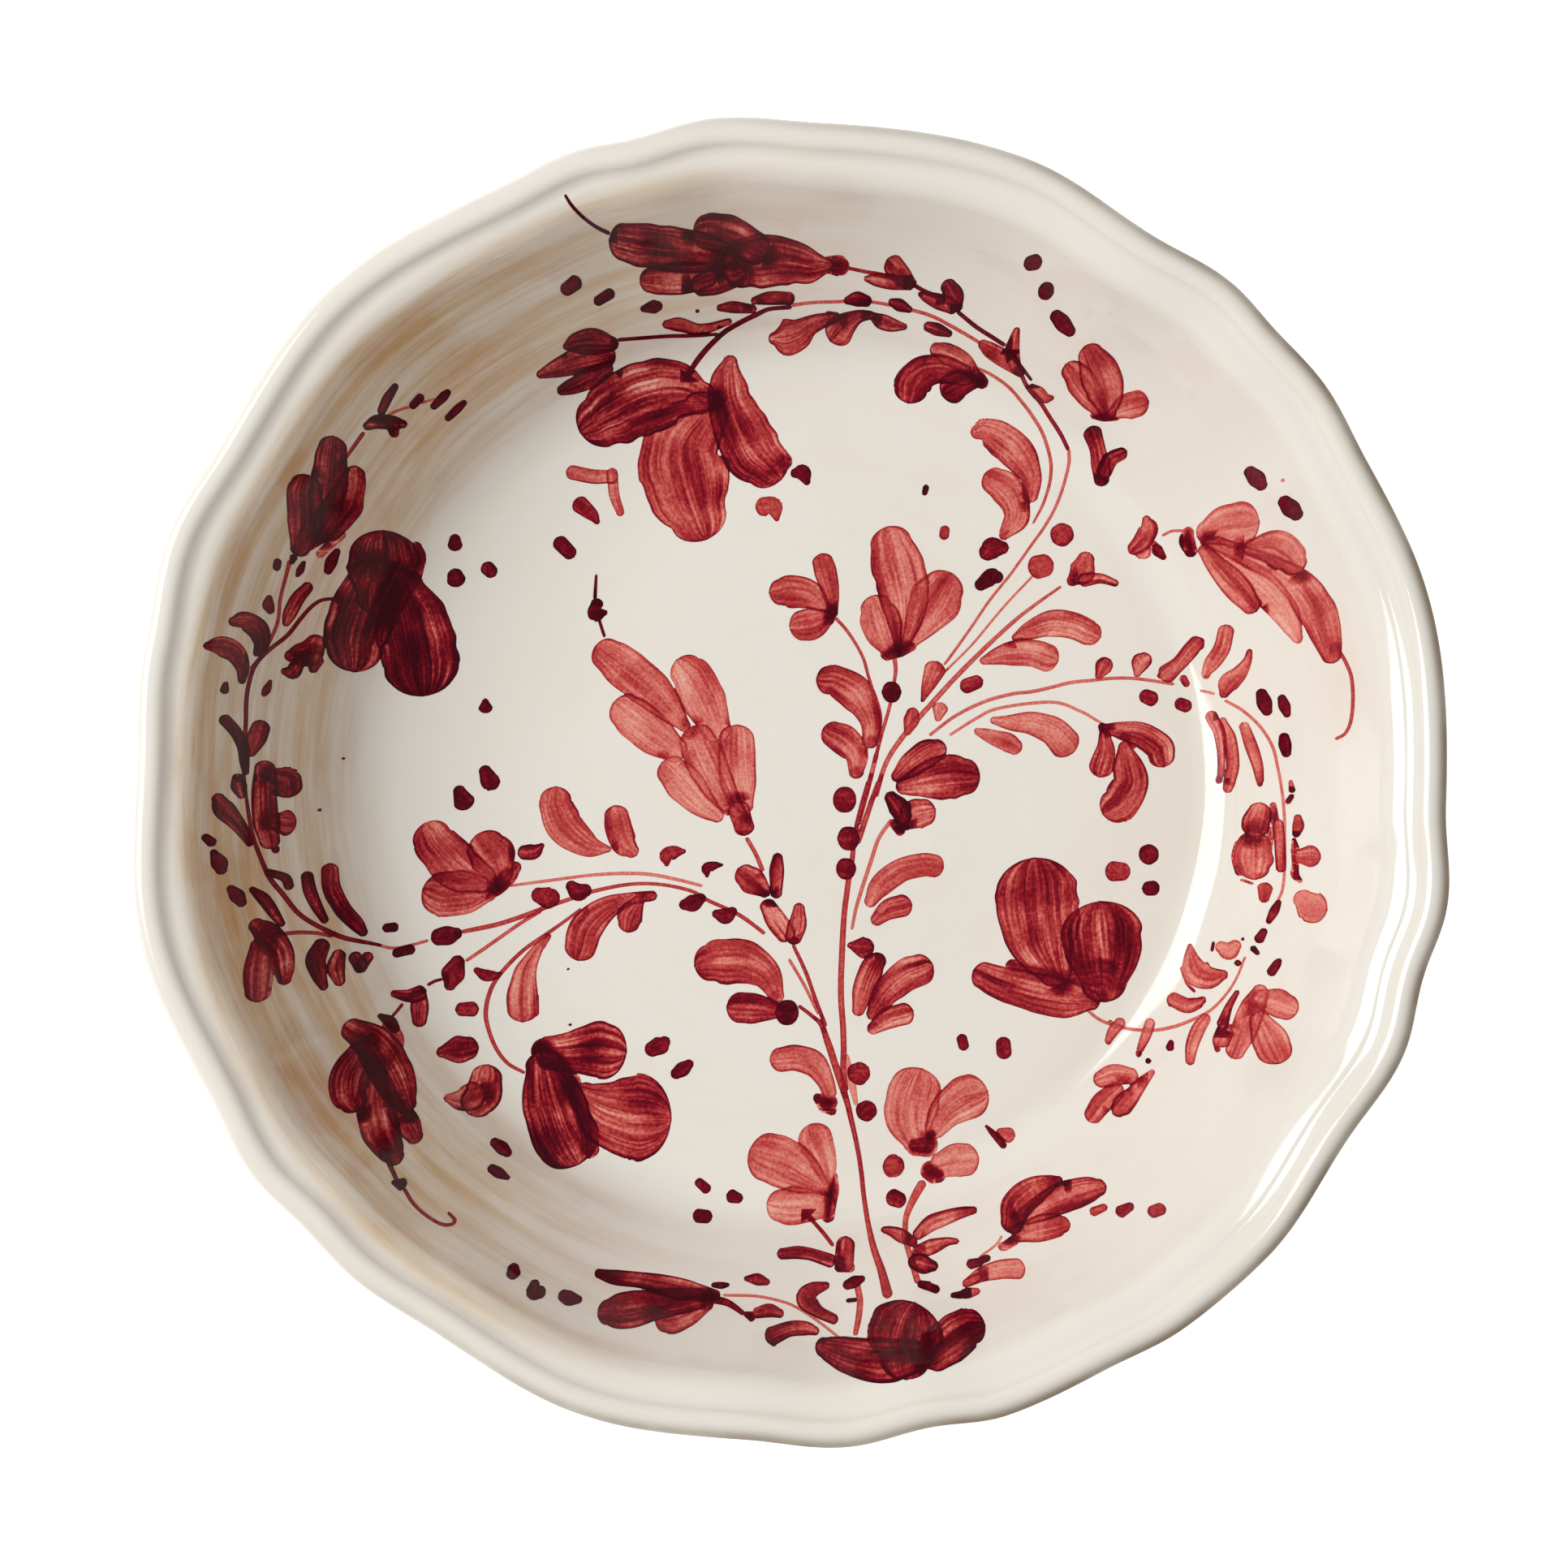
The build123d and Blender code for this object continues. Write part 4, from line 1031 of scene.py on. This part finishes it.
DARKS = (
    # the dark hearts of the blossoms and the pooled ends of the strokes
    (1.0, (-25, 97.5, 1.5, -20, 94.5, 3.2, -16, 91.8, 2.4)),
    (1.5, (-4, 77.5, 2.6, -1.5, 80, 2.4)),
    (1.2, (-21, 128.5, 1.2, -17, 128.5, 2.4, -14, 127, 2.2, -13.5, 124.5, 1.2)),
    (1.0, (9.5, 126.8, 2.0, 12, 126.6, 2.4, 13, 126.3, 1.9)),
    (1.7, (-99, 41, 2.6, -98, 46, 2.8, -94.5, 51, 2.6, -92.3, 55.5, 2.2, -92.5, 58.5, 1.4)),
    (1.1, (-115, 66, 1.8, -111, 67.5, 2.2, -107.5, 69, 1.6)),
    (1.6, (-61.5, -66, 3.0, -57.5, -70, 3.6, -55.2, -74.5, 3.0)),
    (1.7, (-54.5, -74, 2.6, -52.5, -80, 2.2, -50.6, -86, 2.6, -49.8, -91, 2.6)),
    (1.2, (-99, -59.7, 1.6, -97, -64, 1.8, -100, -70, 2.4, -105, -67, 1.6)),
    (1.5, (-67.8, -20.8, 1.4, -70, -22.7, 2.6, -73.7, -26.3, 2.4, -75, -28.3, 1.4)),
    (1.5, (55, -45.5, 1.8, 61, -46.8, 2.2, 67, -48, 2.2, 73, -48, 3.6, 78, -47.5, 4.4, 81, -50, 3.0)),
    (1.2, (76, -44.3, 2.0, 80, -46, 2.6)),
    (2.0, (31, -90, 2.6, 34.3, -89.8, 3)),
    (1.9, (34.8, -87.3, 2)),
    (1.8, (34.5, -96, 2.4, 36, -96.8, 2.7, 37, -97, 2.2)),
    (1.4, (28.3, -86, .6, 28.3, -88.5, 1.0)),
    (2.0, (11, -97.5, .9, 10.5, -100.5, 1.8, 9.8, -104, 1.8, 9.4, -107.5, 1.7)),
    (1.6, (8.3, -101.3, 1.0, 10, -102, 1.4)),
    (2.3, (3.2, -107.2, .8, 5, -107.9, .7)),
    (1.7, (8.3, -79, 2.2, 10.2, -79.3, 2.0)),
    (1.5, (6.8, -78, 1.1, 9, -80, 2.0, 10.6, -81.5, 1.1)),
    (1.5, (20, -136.2, .9, 26, -137.3, 1.8, 32, -138, 2.8, 35, -138, 3.2, 33, -134, 2.0)),
    (1.2, (12, -119.3, 1.1, 15, -119.2, 1.2)),
    (1.3, (-34, -128.5, .8, -31, -129.5, 2.2, -28, -131.3, 1.6)),
    (1.3, (-47, -119.7, .7, -41, -120.2, .7, -34, -121, .6, -28, -122.2, .5)),
    (2.1, (98.3, 62, 1.3, 98.1, 59.7, 1.9, 99.2, 57, 1.5)),
    (1.0, (101, 61.5, .4, 102.5, 58.5, .8, 106, 56, .5, 110, 54.9, .45, 113.5, 54, .45, 117, 51.7, .5)),
    (1.0, (109, 58.5, .4, 111.5, 55, .4, 113, 52, .45, 112.3, 50.7, .45, 110, 51.7, .45, 107, 54, .4)),
    (0.9, (113, 58.8, .4, 115, 57.5, .4, 116, 58.5, .4)),
    (1.0, (124.6, 35.6, .8, 124.4, 34.8, .8)),
    (2.0, (75, 90.7, 1.0, 77.5, 90.4, 1.4, 80.5, 89.9, .8)),
    (1.3, (39.5, 101.3, 1.4, 43, 101, 2.2, 46.5, 99.8, 2.1, 47.8, 99, 1.6)),
    (1.1, (58.7, 69.5, 1.1, 57.5, 71.7, 1.5)),
    (1.3, (53, 61.3, 1.2, 54.3, 62.3, 1.2)),
    (2.0, (77.5, 14, 1.1, 78.5, 11.5, 1.4)),
    (1.9, (82.5, 9.3, .8, 85.3, 9.2, .8)),
    (1.7, (24, 32, 1.8, 27, 33.5, 2.4, 30, 34.3, 1.8)),
    (1.2, (20, 10, 1.8, 20.1, 11, 1.8)),
    (1.2, (16.7, 2.6, 1.7, 16.7, 3.4, 1.7)),
    (1.7, (10.5, 45.5, 1.1, 9.5, 42, 1.8, 9, 39.3, 1.2)),
    (1.5, (25.8, -10, 1.2, 27.5, -12, 1.3)),
    (1.1, (-3.5, -52.5, 2.0, -3.6, -53, 2.0)),
    (1.6, (-15.5, -6.8, 1.2, -15.2, -7, 1.2)),
    (1.0, (52, -113.8, 1.0, 53, -113.5, 1.1, 55, -112.2, 1.2)),
    (1.4, (54.5, -109.3, 1.5, 58, -107.8, 1.1, 61.5, -106.5, .6)),
    (1.3, (119, -5.5, .8, 119.2, -8.5, 1.1, 119.9, -11, .8)),
    (1.4, (111.3, -15.3, 1.3, 110.7, -18.5, 1.4, 111.3, -22, 1.2)),
    (0.9, (118.5, -11.5, .9, 118, -16, .8, 117.5, -21, .6)),
    (1.5, (111.7, -24, .35, 114, -24.8, .35)),
    (2.0, (123.7, -14, .5, 124, -16.5, 1.0, 124, -20, .8, 123.9, -22.5, 1.0, 125, -24, .6)),
    (2.0, (107, 3, .7, 106.4, .5, .9)),
    (1.3, (115.9, 1.5, .8, 116, -.3, .7)),
    (1.8, (97.6, 25.9, 1, 98.4, 24.5, .9)),
    (1.1, (91.8, 26.5, .7, 93, 28.3, .7)),
    (1.3, (103.2, 26.5, .9, 103.8, 28, 1.0)),
    (1.1, (101.5, 35, 1.3, 101.6, 33.8, 1.1)),
    (2.0, (79.4, -59.5, .7)),
    (1.9, (79, -64.3, .7)),
    (2.1, (86.5, -66.8, .8, 86.4, -67.3, .7)),
    (1.5, (94.3, -54.8, .7)),
    (1.8, (102, -53.8, .7)),
    (1.8, (108.3, -60, .8)),
    (1.2, (99.5, -61, .4, 98.7, -65, .5, 98.5, -68, .5)),
    (1.2, (104.3, -63.5, .5, 105, -65.5, .7)),
    (1.2, (99.2, -40.8, .6, 98.7, -42, .7)),
    (1.3, (97, -46, .35, 98.3, -49.5, .4, 100, -51.5, .4)),
    (1.8, (90.3, 59.3, .7, 91, 57.7, 1.4, 92.6, 55.9, .8)),
    (1.5, (84.5, -74.7, .45, 87, -73, .5, 89.5, -71.4, .6)),
    (2.0, (-61.5, -40.5, .9, -60, -38, .9)),
    (1.0, (-63.2, -53, 1.0, -63.4, -57, 1.3)),
    (0.8, (-115, 56, 1.0, -110, 61, 1.2)),
    (1.3, (-121, 55, .9, -121.5, 53.8, .6)),
    (1.0, (-126, -16.3, 1.0)),
    (1.4, (-4, -136, .9)),
    (1.5, (-9.3, -130.3, 1.2, -10.6, -129.8, .7)),
    (1.3, (9.5, 115.4, 1.0, 11.5, 115, 1.1)),
    (2.0, (48.8, -85.2, .4, 50.5, -87, .8, 53, -89.9, .9)),
)

DOTS = (
    (2.4, (-54.6, 120.3, 1.5, -52.2, 122, 1.7)),
    (2.5, (-47, 118, 1.2, -44, 119.8, 1.3)),
    (2.6, (-36, 116.5, .8, -33.5, 117, 1.6, -32.3, 117.2, 1.2)),
    (1.9, (-22.8, 116.2, .45)),
    (2.0, (1.2, 76.8, 1.2, 3.2, 76.8, 2.1, 4.3, 74.6, .9)),
    (2.6, (33.5, 71.9, .7, 33.8, 73.2, .8)),
    (1.3, (38.5, 62.8, 1.2, 38.3, 61.3, 1.2)),
    (1.6, (-52, 69, 2.2, -49, 66.5, 1.6, -47.8, 64.8, .8)),
    (1.1, (-6.5, 68.5, 2.4, -4, 68.3, 2.4, -3.2, 65.5, .7)),
    (2.1, (-57, 59.5, 1.9, -54.5, 57, 1.8)),
    (2.2, (-47.8, 44.5, 1.5, -48, 42, 2.1, -45.8, 42.2, .7)),
    (1.8, (-48.3, 46, .45, -48, 51.3, .36)),
    (1.6, (-46, 36.5, .4, -47.3, 40.5, .4)),
    (2.2, (-83, 60.5, 1.4, -83, 59, 1.9)),
    (2.1, (-75, 53.3, 1.8, -74, 52.3, 1.7)),
    (2.1, (-83, 51.5, 2.0, -82.7, 50.5, 2.4)),
    (2.0, (-75.5, 20.1, .9, -75.4, 18.7, 1.8)),
    (2.2, (-75.6, 3, 1.6, -74.4, .6, 2.5, -73.6, .3, 2.1)),
    (2.2, (-82, -2, 1.6, -80.8, -4.6, 2.7)),
    (1.5, (-110.5, 6, .35)),
    (1.7, (-116, -6.7, .4)),
    (2.2, (-92.2, 92.2, .9, -90.3, 94.2, 1.0)),
    (2.2, (-87.3, 92.2, .8, -85, 94.5, 1.1, -83.8, 95.7, .8)),
    (2.2, (-84, 89.6, .8, -81.5, 92, 1.0, -80, 93.4, .7)),
    (2.1, (-113.3, 52, 1.0, -112.4, 54.3, 1.4, -111, 56.8, .8)),
    (2.2, (-118.8, 53.8, .5, -119.6, 52, .9, -120.3, 50.7, .5)),
    (2.5, (-124.6, 53.8, .9, -124.9, 52.4, .9)),
    (2.2, (-126.8, 45, .8, -127, 43.3, 1.4, -126.6, 42, 1.0)),
    (2.3, (-136.7, 24, .6, -137, 22.4, 1.0)),
    (2.1, (-127, 24.7, .5, -127.8, 22.8, 1.0, -128.4, 21.7, .7)),
    (2.3, (-141.2, -13.2, 1.0, -139.9, -14.4, 1.2)),
    (2.3, (-139.5, -16.8, .8, -138.3, -19.3, 1.9, -137.8, -21.2, 1.3)),
    (2.3, (-135.7, -25.7, 1.0, -134.3, -27.5, 1.7, -133.3, -29.2, 1.2)),
    (2.4, (-100, -36, 1.1, -98, -35.8, 1.2)),
    (2.3, (-97.5, -42.2, 1.2, -94, -41.3, 1.3)),
    (2.2, (-101, -57.5, .7, -98.7, -59, 1.5, -97.4, -60.8, 1.2)),
    (1.6, (-62.5, -27.8, 1.9, -60, -28.5, 2.7, -58.8, -28.5, 2.2)),
    (2.0, (-87.3, -38.3, 2.1, -84.5, -37.8, 2.4, -82.4, -37.3, 1.4)),
    (1.7, (-82.3, -44.3, 1.8, -83.5, -47.5, 2.9, -84.3, -50.3, 1.5)),
    (1.6, (-77.7, -46.5, .8, -75.5, -47.7, 1.5, -73, -47.8, 1.1, -71.8, -47.3, .5)),
    (1.9, (-81.5, -56.2, 1.7, -78.7, -56.1, 1.9)),
    (1.4, (-30.5, -20.2, .6, -30.5, -18.2, 1.9, -28.5, -17.2, 1.6, -26.3, -17, .6)),
    (2.0, (-20.5, -23, .5, -20.5, -21.3, 1.4, -18.5, -20.5, 1.0, -16.9, -20.4, .4)),
    (1.7, (-54.3, -25.5, 1.4, -52.5, -27, 2.3, -50.5, -26.6, 1.6)),
    (1.9, (-26.3, -30.3, 1.3, -24, -29.8, 2.1, -21.9, -28.6, 1.3)),
    (1.8, (-18.3, -32.5, 1.1, -16, -33, 2.1, -14.1, -31.9, 1.2)),
    (2.0, (-55, -46.2, .3)),
    (2.0, (-54.5, -60, .35)),
    (2.0, (-34.3, -66.2, 1.9, -32, -65, 2.3, -30.9, -64.1, 1.4)),
    (2.0, (-28.3, -72.2, 1.4, -26.5, -71, 1.9, -24.9, -69.7, 1.2)),
    (1.9, (-22.5, -99.1, 1.2, -20.7, -100.7, 1.3)),
    (1.9, (-14.3, -102.5, 1.7, -12.7, -103, 1.3)),
    (2.0, (-22.6, -107.2, 1.7, -20.5, -107.4, 1.6)),
    (2.2, (-73, -88.7, 1.1, -71, -90.2, 1.6, -69.6, -91.4, 1.1)),
    (2.4, (-73.4, -94.9, 1.1, -71.5, -96, 1.3, -69.4, -97.2, .6)),
    (2.3, (-67.2, -118, 1.4, -67.1, -119, 1.7)),
    (2.4, (-62, -121.7, 1.2, -62, -123.3, 1.9, -60.4, -123.6, 1.4)),
    (2.3, (-55.1, -124.6, 1.4, -53.5, -125.3, 1.7, -51.3, -125.7, .9)),
    (2.4, (-96.2, -97, .6, -94.4, -97.6, 1.5)),
    (2.3, (-18.7, -123.2, .6, -16.8, -123.3, .8, -15.3, -123.2, .5)),
    (1.5, (-10.7, -121.8, .6, -8, -122, 1.4, -5.6, -122.6, .8)),
    (1.8, (14, -123.3, 1.1, 16, -122.5, 1.4, 17.8, -121.8, .8)),
    (2.4, (14.3, -126.8, .5, 16, -126.6, .5)),
    (1.6, (32, -122.8, .9, 34, -123.2, 1.1)),
    (0.8, (34.5, -123.5, 1.0, 35.8, -123.9, 1.0)),
    (2.2, (39.8, -125.2, .6, 41.7, -125, .9)),
    (0.85, (42.5, -124.8, 1.1, 43.7, -124.5, 1.2, 45.7, -124.1, .8)),
    (1.6, (44.4, -118, 1.2, 46.6, -117.5, 1.0)),
    (0.8, (47, -117, 1.0, 48.5, -116.5, .8)),
    (1.7, (42.7, -63.4, 1.3, 43.2, -65.3, 1.3)),
    (1.7, (53, -64.5, 1.8, 53.2, -67, 1.9)),
    (0.9, (54.3, -87.4, 1.9, 52.2, -87, 1.4)),
    (1.1, (74.4, -105, 1.1, 76.9, -103.9, .9)),
    (1.6, (80.8, -104.7, 1.4, 83.1, -103.4, 1.0)),
    (1.3, (88.3, -104.4, 1.4, 90.2, -103.6, 1.4)),
    (1.6, (16.8, -72.3, 2.9, 17.7, -71.7, 2.6)),
    (1.8, (18.7, -81.6, 2.6, 19.5, -81, 2.4)),
    (0.9, (25.5, -95, 2.9, 26.3, -95.2, 2.6)),
    (0.9, (25, -95, 2.2)),
    (1.8, (25.7, -102.8, 2.2, 27.2, -103.4, 2.0)),
    (1.6, (13.3, -4.2, 3.2)),
    (1.7, (14.3, -13.8, 3.0)),
    (1.8, (13.7, -21.3, 2.7)),
    (2.0, (-1, -57, 3.2)),
    (2.1, (25, 22.5, 2.6)),
    (2.3, (47.2, 49, 1.5, 50, 51, 2.2, 51.7, 51, 1.5)),
    (1.7, (48.8, 57, 2.1, 50.5, 58.2, 2.8, 53, 58.3, 1.6)),
    (1.1, (61.5, 53.5, 2.9, 63.2, 53.9, 2.8)),
    (1.3, (67.2, 61.2, 2.9, 68, 61.9, 2.8)),
    (1.4, (88.2, 21.5, 1.8, 89.8, 20.8, 1.9)),
    (1.7, (96.8, 19.6, 1.6, 98.4, 19, 1.6)),
    (1.4, (80.3, -21.9, 2.5, 82.6, -22, 2.3)),
    (2.2, (88.9, -26.2, 1.8, 90.2, -26.1, 1.9)),
    (1.9, (88.7, -17.9, 2.5, 89.5, -17.5, 2.4)),
    (2.4, (88.6, -68.8, .7)),
    (1.9, (94.2, -64.2, .7, 93.9, -65.4, 1.0)),
    (2.0, (114, -40.8, .8, 114.9, -41.8, .6)),
    (1.6, (116.5, -36.5, .9, 115.4, -38.4, 1.2)),
    (1.6, (120, -29.4, .7, 119, -31.5, 1.1, 117.7, -34, .7)),
    (1.8, (118, -46.4, 1.1, 119.3, -44.4, 1.0, 119.8, -43.6, .7)),
    (1.3, (104.8, -39.7, .4, 104.5, -41.3, .4)),
    (1.8, (110.3, -44.4, .8)),
    (1.0, (111.6, -38.5, .4)),
    (0.7, (123, .2, .5, 123.3, -1.8, .8)),
    (1.6, (123.2, -3.3, .6, 122.4, -4.6, .7)),
    (1.4, (124.6, -8.5, .9, 124.7, -10.5, 1.4, 124.2, -12.6, .9)),
    (2.1, (116.2, 22.1, 1.3, 116.9, 19.7, 1.8, 117.6, 17.5, 1.2)),
    (1.8, (120.9, 20.8, 1.0, 121.5, 18.8, 1.4, 122.1, 16.8, .9)),
    (2.0, (121.5, 11.3, 1.2, 121.7, 9.3, 1.5, 122, 7.2, 1.1)),
    (2.1, (111.9, 75.8, 1.4, 113.5, 74, 2.0, 114.8, 72.2, 1.3)),
    (2.1, (119.9, 68.3, 1.5, 121.5, 66.5, 2.1, 122.9, 64.9, 1.5)),
    (2.1, (64.9, 114, 1.5, 66.6, 112.2, 1.9, 68.6, 110.2, 1.3)),
    (2.3, (62.1, 119.7, 2.0, 62.6, 119.6, 2.0)),
    (2.4, (58.2, 126, 1.7, 59.6, 126.2, 1.8)),
    (0.4, (119.3, 73.2, .4)),
)

# ---------------------------------------------------------------- the pieces

SHARP_ANGLE = math.radians(50.0)

# Thin glaze in millimetres: where it is thinnest, and how far it reaches to either side
LIP_EDGE, LIP_EDGE_WIDTH, LIP_EDGE_FLOOR = 159.9, 2.1, 67.0
FOOT_EDGE_WIDTH = 0.8

# Painted shade: the lip's edge is tan most on the side away from the light, and keeps a share of that all
# the way round as thin glaze
LIP_SHADE_SIDE = math.radians(-20.0)
THIN_EVERYWHERE = 0.2


def closed_turn(name, top, under, material, node, axial):
    """A closed skin turned round the axis from its outer line and the line under it."""
    rows = np.concatenate([top, under[::-1]])
    if axial:
        rows = rows[1:-1]
    verts = turned_verts(rows)
    quads = ring_faces(len(rows), not axial)
    faces = [quads[:, [0, 1, 2]], quads[:, [0, 2, 3]]]
    if axial:
        turn = np.arange(TURNS)
        ahead = (turn + 1) % TURNS
        last = (len(rows) - 1) * TURNS
        hub = np.full(TURNS, len(verts))
        faces.append(np.stack([hub, turn, ahead], axis=1))
        faces.append(np.stack([hub + 1, last + ahead, last + turn], axis=1))
        verts = np.concatenate([verts, [(0.0, 0.0, top[0, 1]), (0.0, 0.0, under[0, 1])]])
    piece = make_mesh(name, verts, np.concatenate(faces), material)
    piece.data.set_sharp_from_angle(angle=SHARP_ANGLE)
    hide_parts(node)
    return piece


def mark_glaze(piece, brushed):
    """Marks where the glaze runs thin, at the lip's outer edge and the foot, where painted shade darkens the
    lip's edge on the side away from the light, and if it is brushed, which lets the tan bands of brushed
    streaks and painted shade show.
    """
    places = np.empty(len(piece.data.vertices) * 3, np.float32)
    piece.data.vertices.foreach_get("co", places)
    x, y, z = places.reshape(-1, 3).T / MM
    reach, angle = np.hypot(x, y), np.arctan2(y, x)
    radius = reach - wave(angle)
    lip = np.exp(-(((radius - LIP_EDGE) / LIP_EDGE_WIDTH) ** 2)) * (z > LIP_EDGE_FLOOR)
    # painted shade: the lip's edge is darkest on the side away from the light
    side = np.clip(0.5 + 0.9 * np.cos(angle - LIP_SHADE_SIDE), 0.0, 1.0)
    lip = lip * (THIN_EVERYWHERE + (1.0 - THIN_EVERYWHERE) * side)
    foot = np.exp(-(((z - GLAZE_LINE) / FOOT_EDGE_WIDTH) ** 2))
    set_values(piece, "thin", np.clip(lip + foot, 0.0, 1.0))
    set_values(piece, "brushed", np.full(len(radius), brushed))


glaze = glaze_material("cream_glaze")
paint = paint_material("painted_decoration")
clay = clay_material("fired_clay")

inside_line = rounded(INSIDE, SKIN_STEP)
inside_under = offset_line(rounded(INSIDE, UNDER_STEP), GLAZE)
outside_line = rounded(OUTSIDE, CREST_STEP)
outside_under = offset_line(rounded(OUTSIDE, UNDER_STEP), GLAZE)
well_line = filled(rounded(WELL, CREST_STEP), UNDER_STEP)
well_over = well_line + (GLAZE, GLAZE)
well_over[0, 0] = 0.0

mark_glaze(closed_turn("bowl_inner_glaze", inside_line, inside_under, glaze,
                       "inner_glaze", True), 1.0)
mark_glaze(closed_turn("bowl_outer_glaze", outside_line, outside_under, glaze,
                       "outer_glaze", False), 0.0)
mark_glaze(closed_turn("bowl_well_glaze", well_over, well_line, glaze,
                       "foot_well_glaze", True), 0.0)

for node in ("clay_body", "foot_ring"):
    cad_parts[node].data.materials.clear()
    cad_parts[node].data.materials.append(clay)

# Each layer of paint: its name, how far it lies over the glaze, its strokes and how they are laid
LAYERS = (
    ("painted_pale_stems", 0.02, PALE_STEMS, dict(streak=0.3, edge=0.4)),
    ("painted_stems", 0.03, STEMS, dict(streak=0.3, edge=0.5)),
    ("painted_leaves", 0.04, LEAVES, dict(fade=0.25)),
    ("painted_petals", 0.05, PETALS, dict(fade=0.25)),
    ("painted_hearts", 0.06, DARKS, dict(edge=0.3, soft=1.6, streak=0.5)),
    ("painted_dots", 0.07, DOTS, dict(edge=0.6, streak=0.3)),
)
canvas = Canvas()
for name, lift, strokes, manner in LAYERS:
    canvas.new_layer()
    for load, stations in strokes:
        canvas.stroke(load, stations, **manner)
    canvas.film(name, paint, lift)

# ---------------------------------------------------------------- floor, light and camera

bpy.ops.mesh.primitive_plane_add(size=60.0)
floor = bpy.context.object
floor.name = "studio_floor"
floor_nodes = Nodes("studio_floor")
for socket, value in (("Base Color", (0.9, 0.9, 0.9)), ("Roughness", 1.0),
                      ("Specular IOR Level", 0.0), ("Emission Color", (1.0, 1.0, 1.0)),
                      ("Emission Strength", 0.6)):
    floor_nodes.feed(floor_nodes.shader.inputs[socket], value)
floor.data.materials.append(floor_nodes.material)


def lamp(name, place, target, size, power):
    """A soft rectangular lamp that faces a target."""
    light = bpy.data.lights.new(name, "AREA")
    light.shape = "RECTANGLE"
    light.size, light.size_y = size
    light.energy = power
    holder = bpy.data.objects.new(name, light)
    bpy.context.scene.collection.objects.link(holder)
    holder.location = place
    way = mathutils.Vector(target) - mathutils.Vector(place)
    holder.rotation_euler = way.to_track_quat("-Z", "Y").to_euler()


lamp("key", (-1.15, 0.25, 1.35), (0.0, 0.0, 0.03), (0.9, 1.2), 26.0)

world = bpy.data.worlds.new("room")
bpy.context.scene.world = world
world.use_nodes = True
world.node_tree.nodes["Background"].inputs["Color"].default_value = (1.0, 0.99, 0.97, 1.0)
world.node_tree.nodes["Background"].inputs["Strength"].default_value = 0.45

camera_data = bpy.data.cameras.new("camera")
camera_data.lens = 191.1
camera_data.sensor_width = 36.0
camera_data.clip_end = 100.0
camera = bpy.data.objects.new("camera", camera_data)
bpy.context.scene.collection.objects.link(camera)
camera.location = (-0.0014, -0.0003, 2.076)
bpy.context.scene.camera = camera
bpy.context.scene.view_settings.view_transform = "Standard"
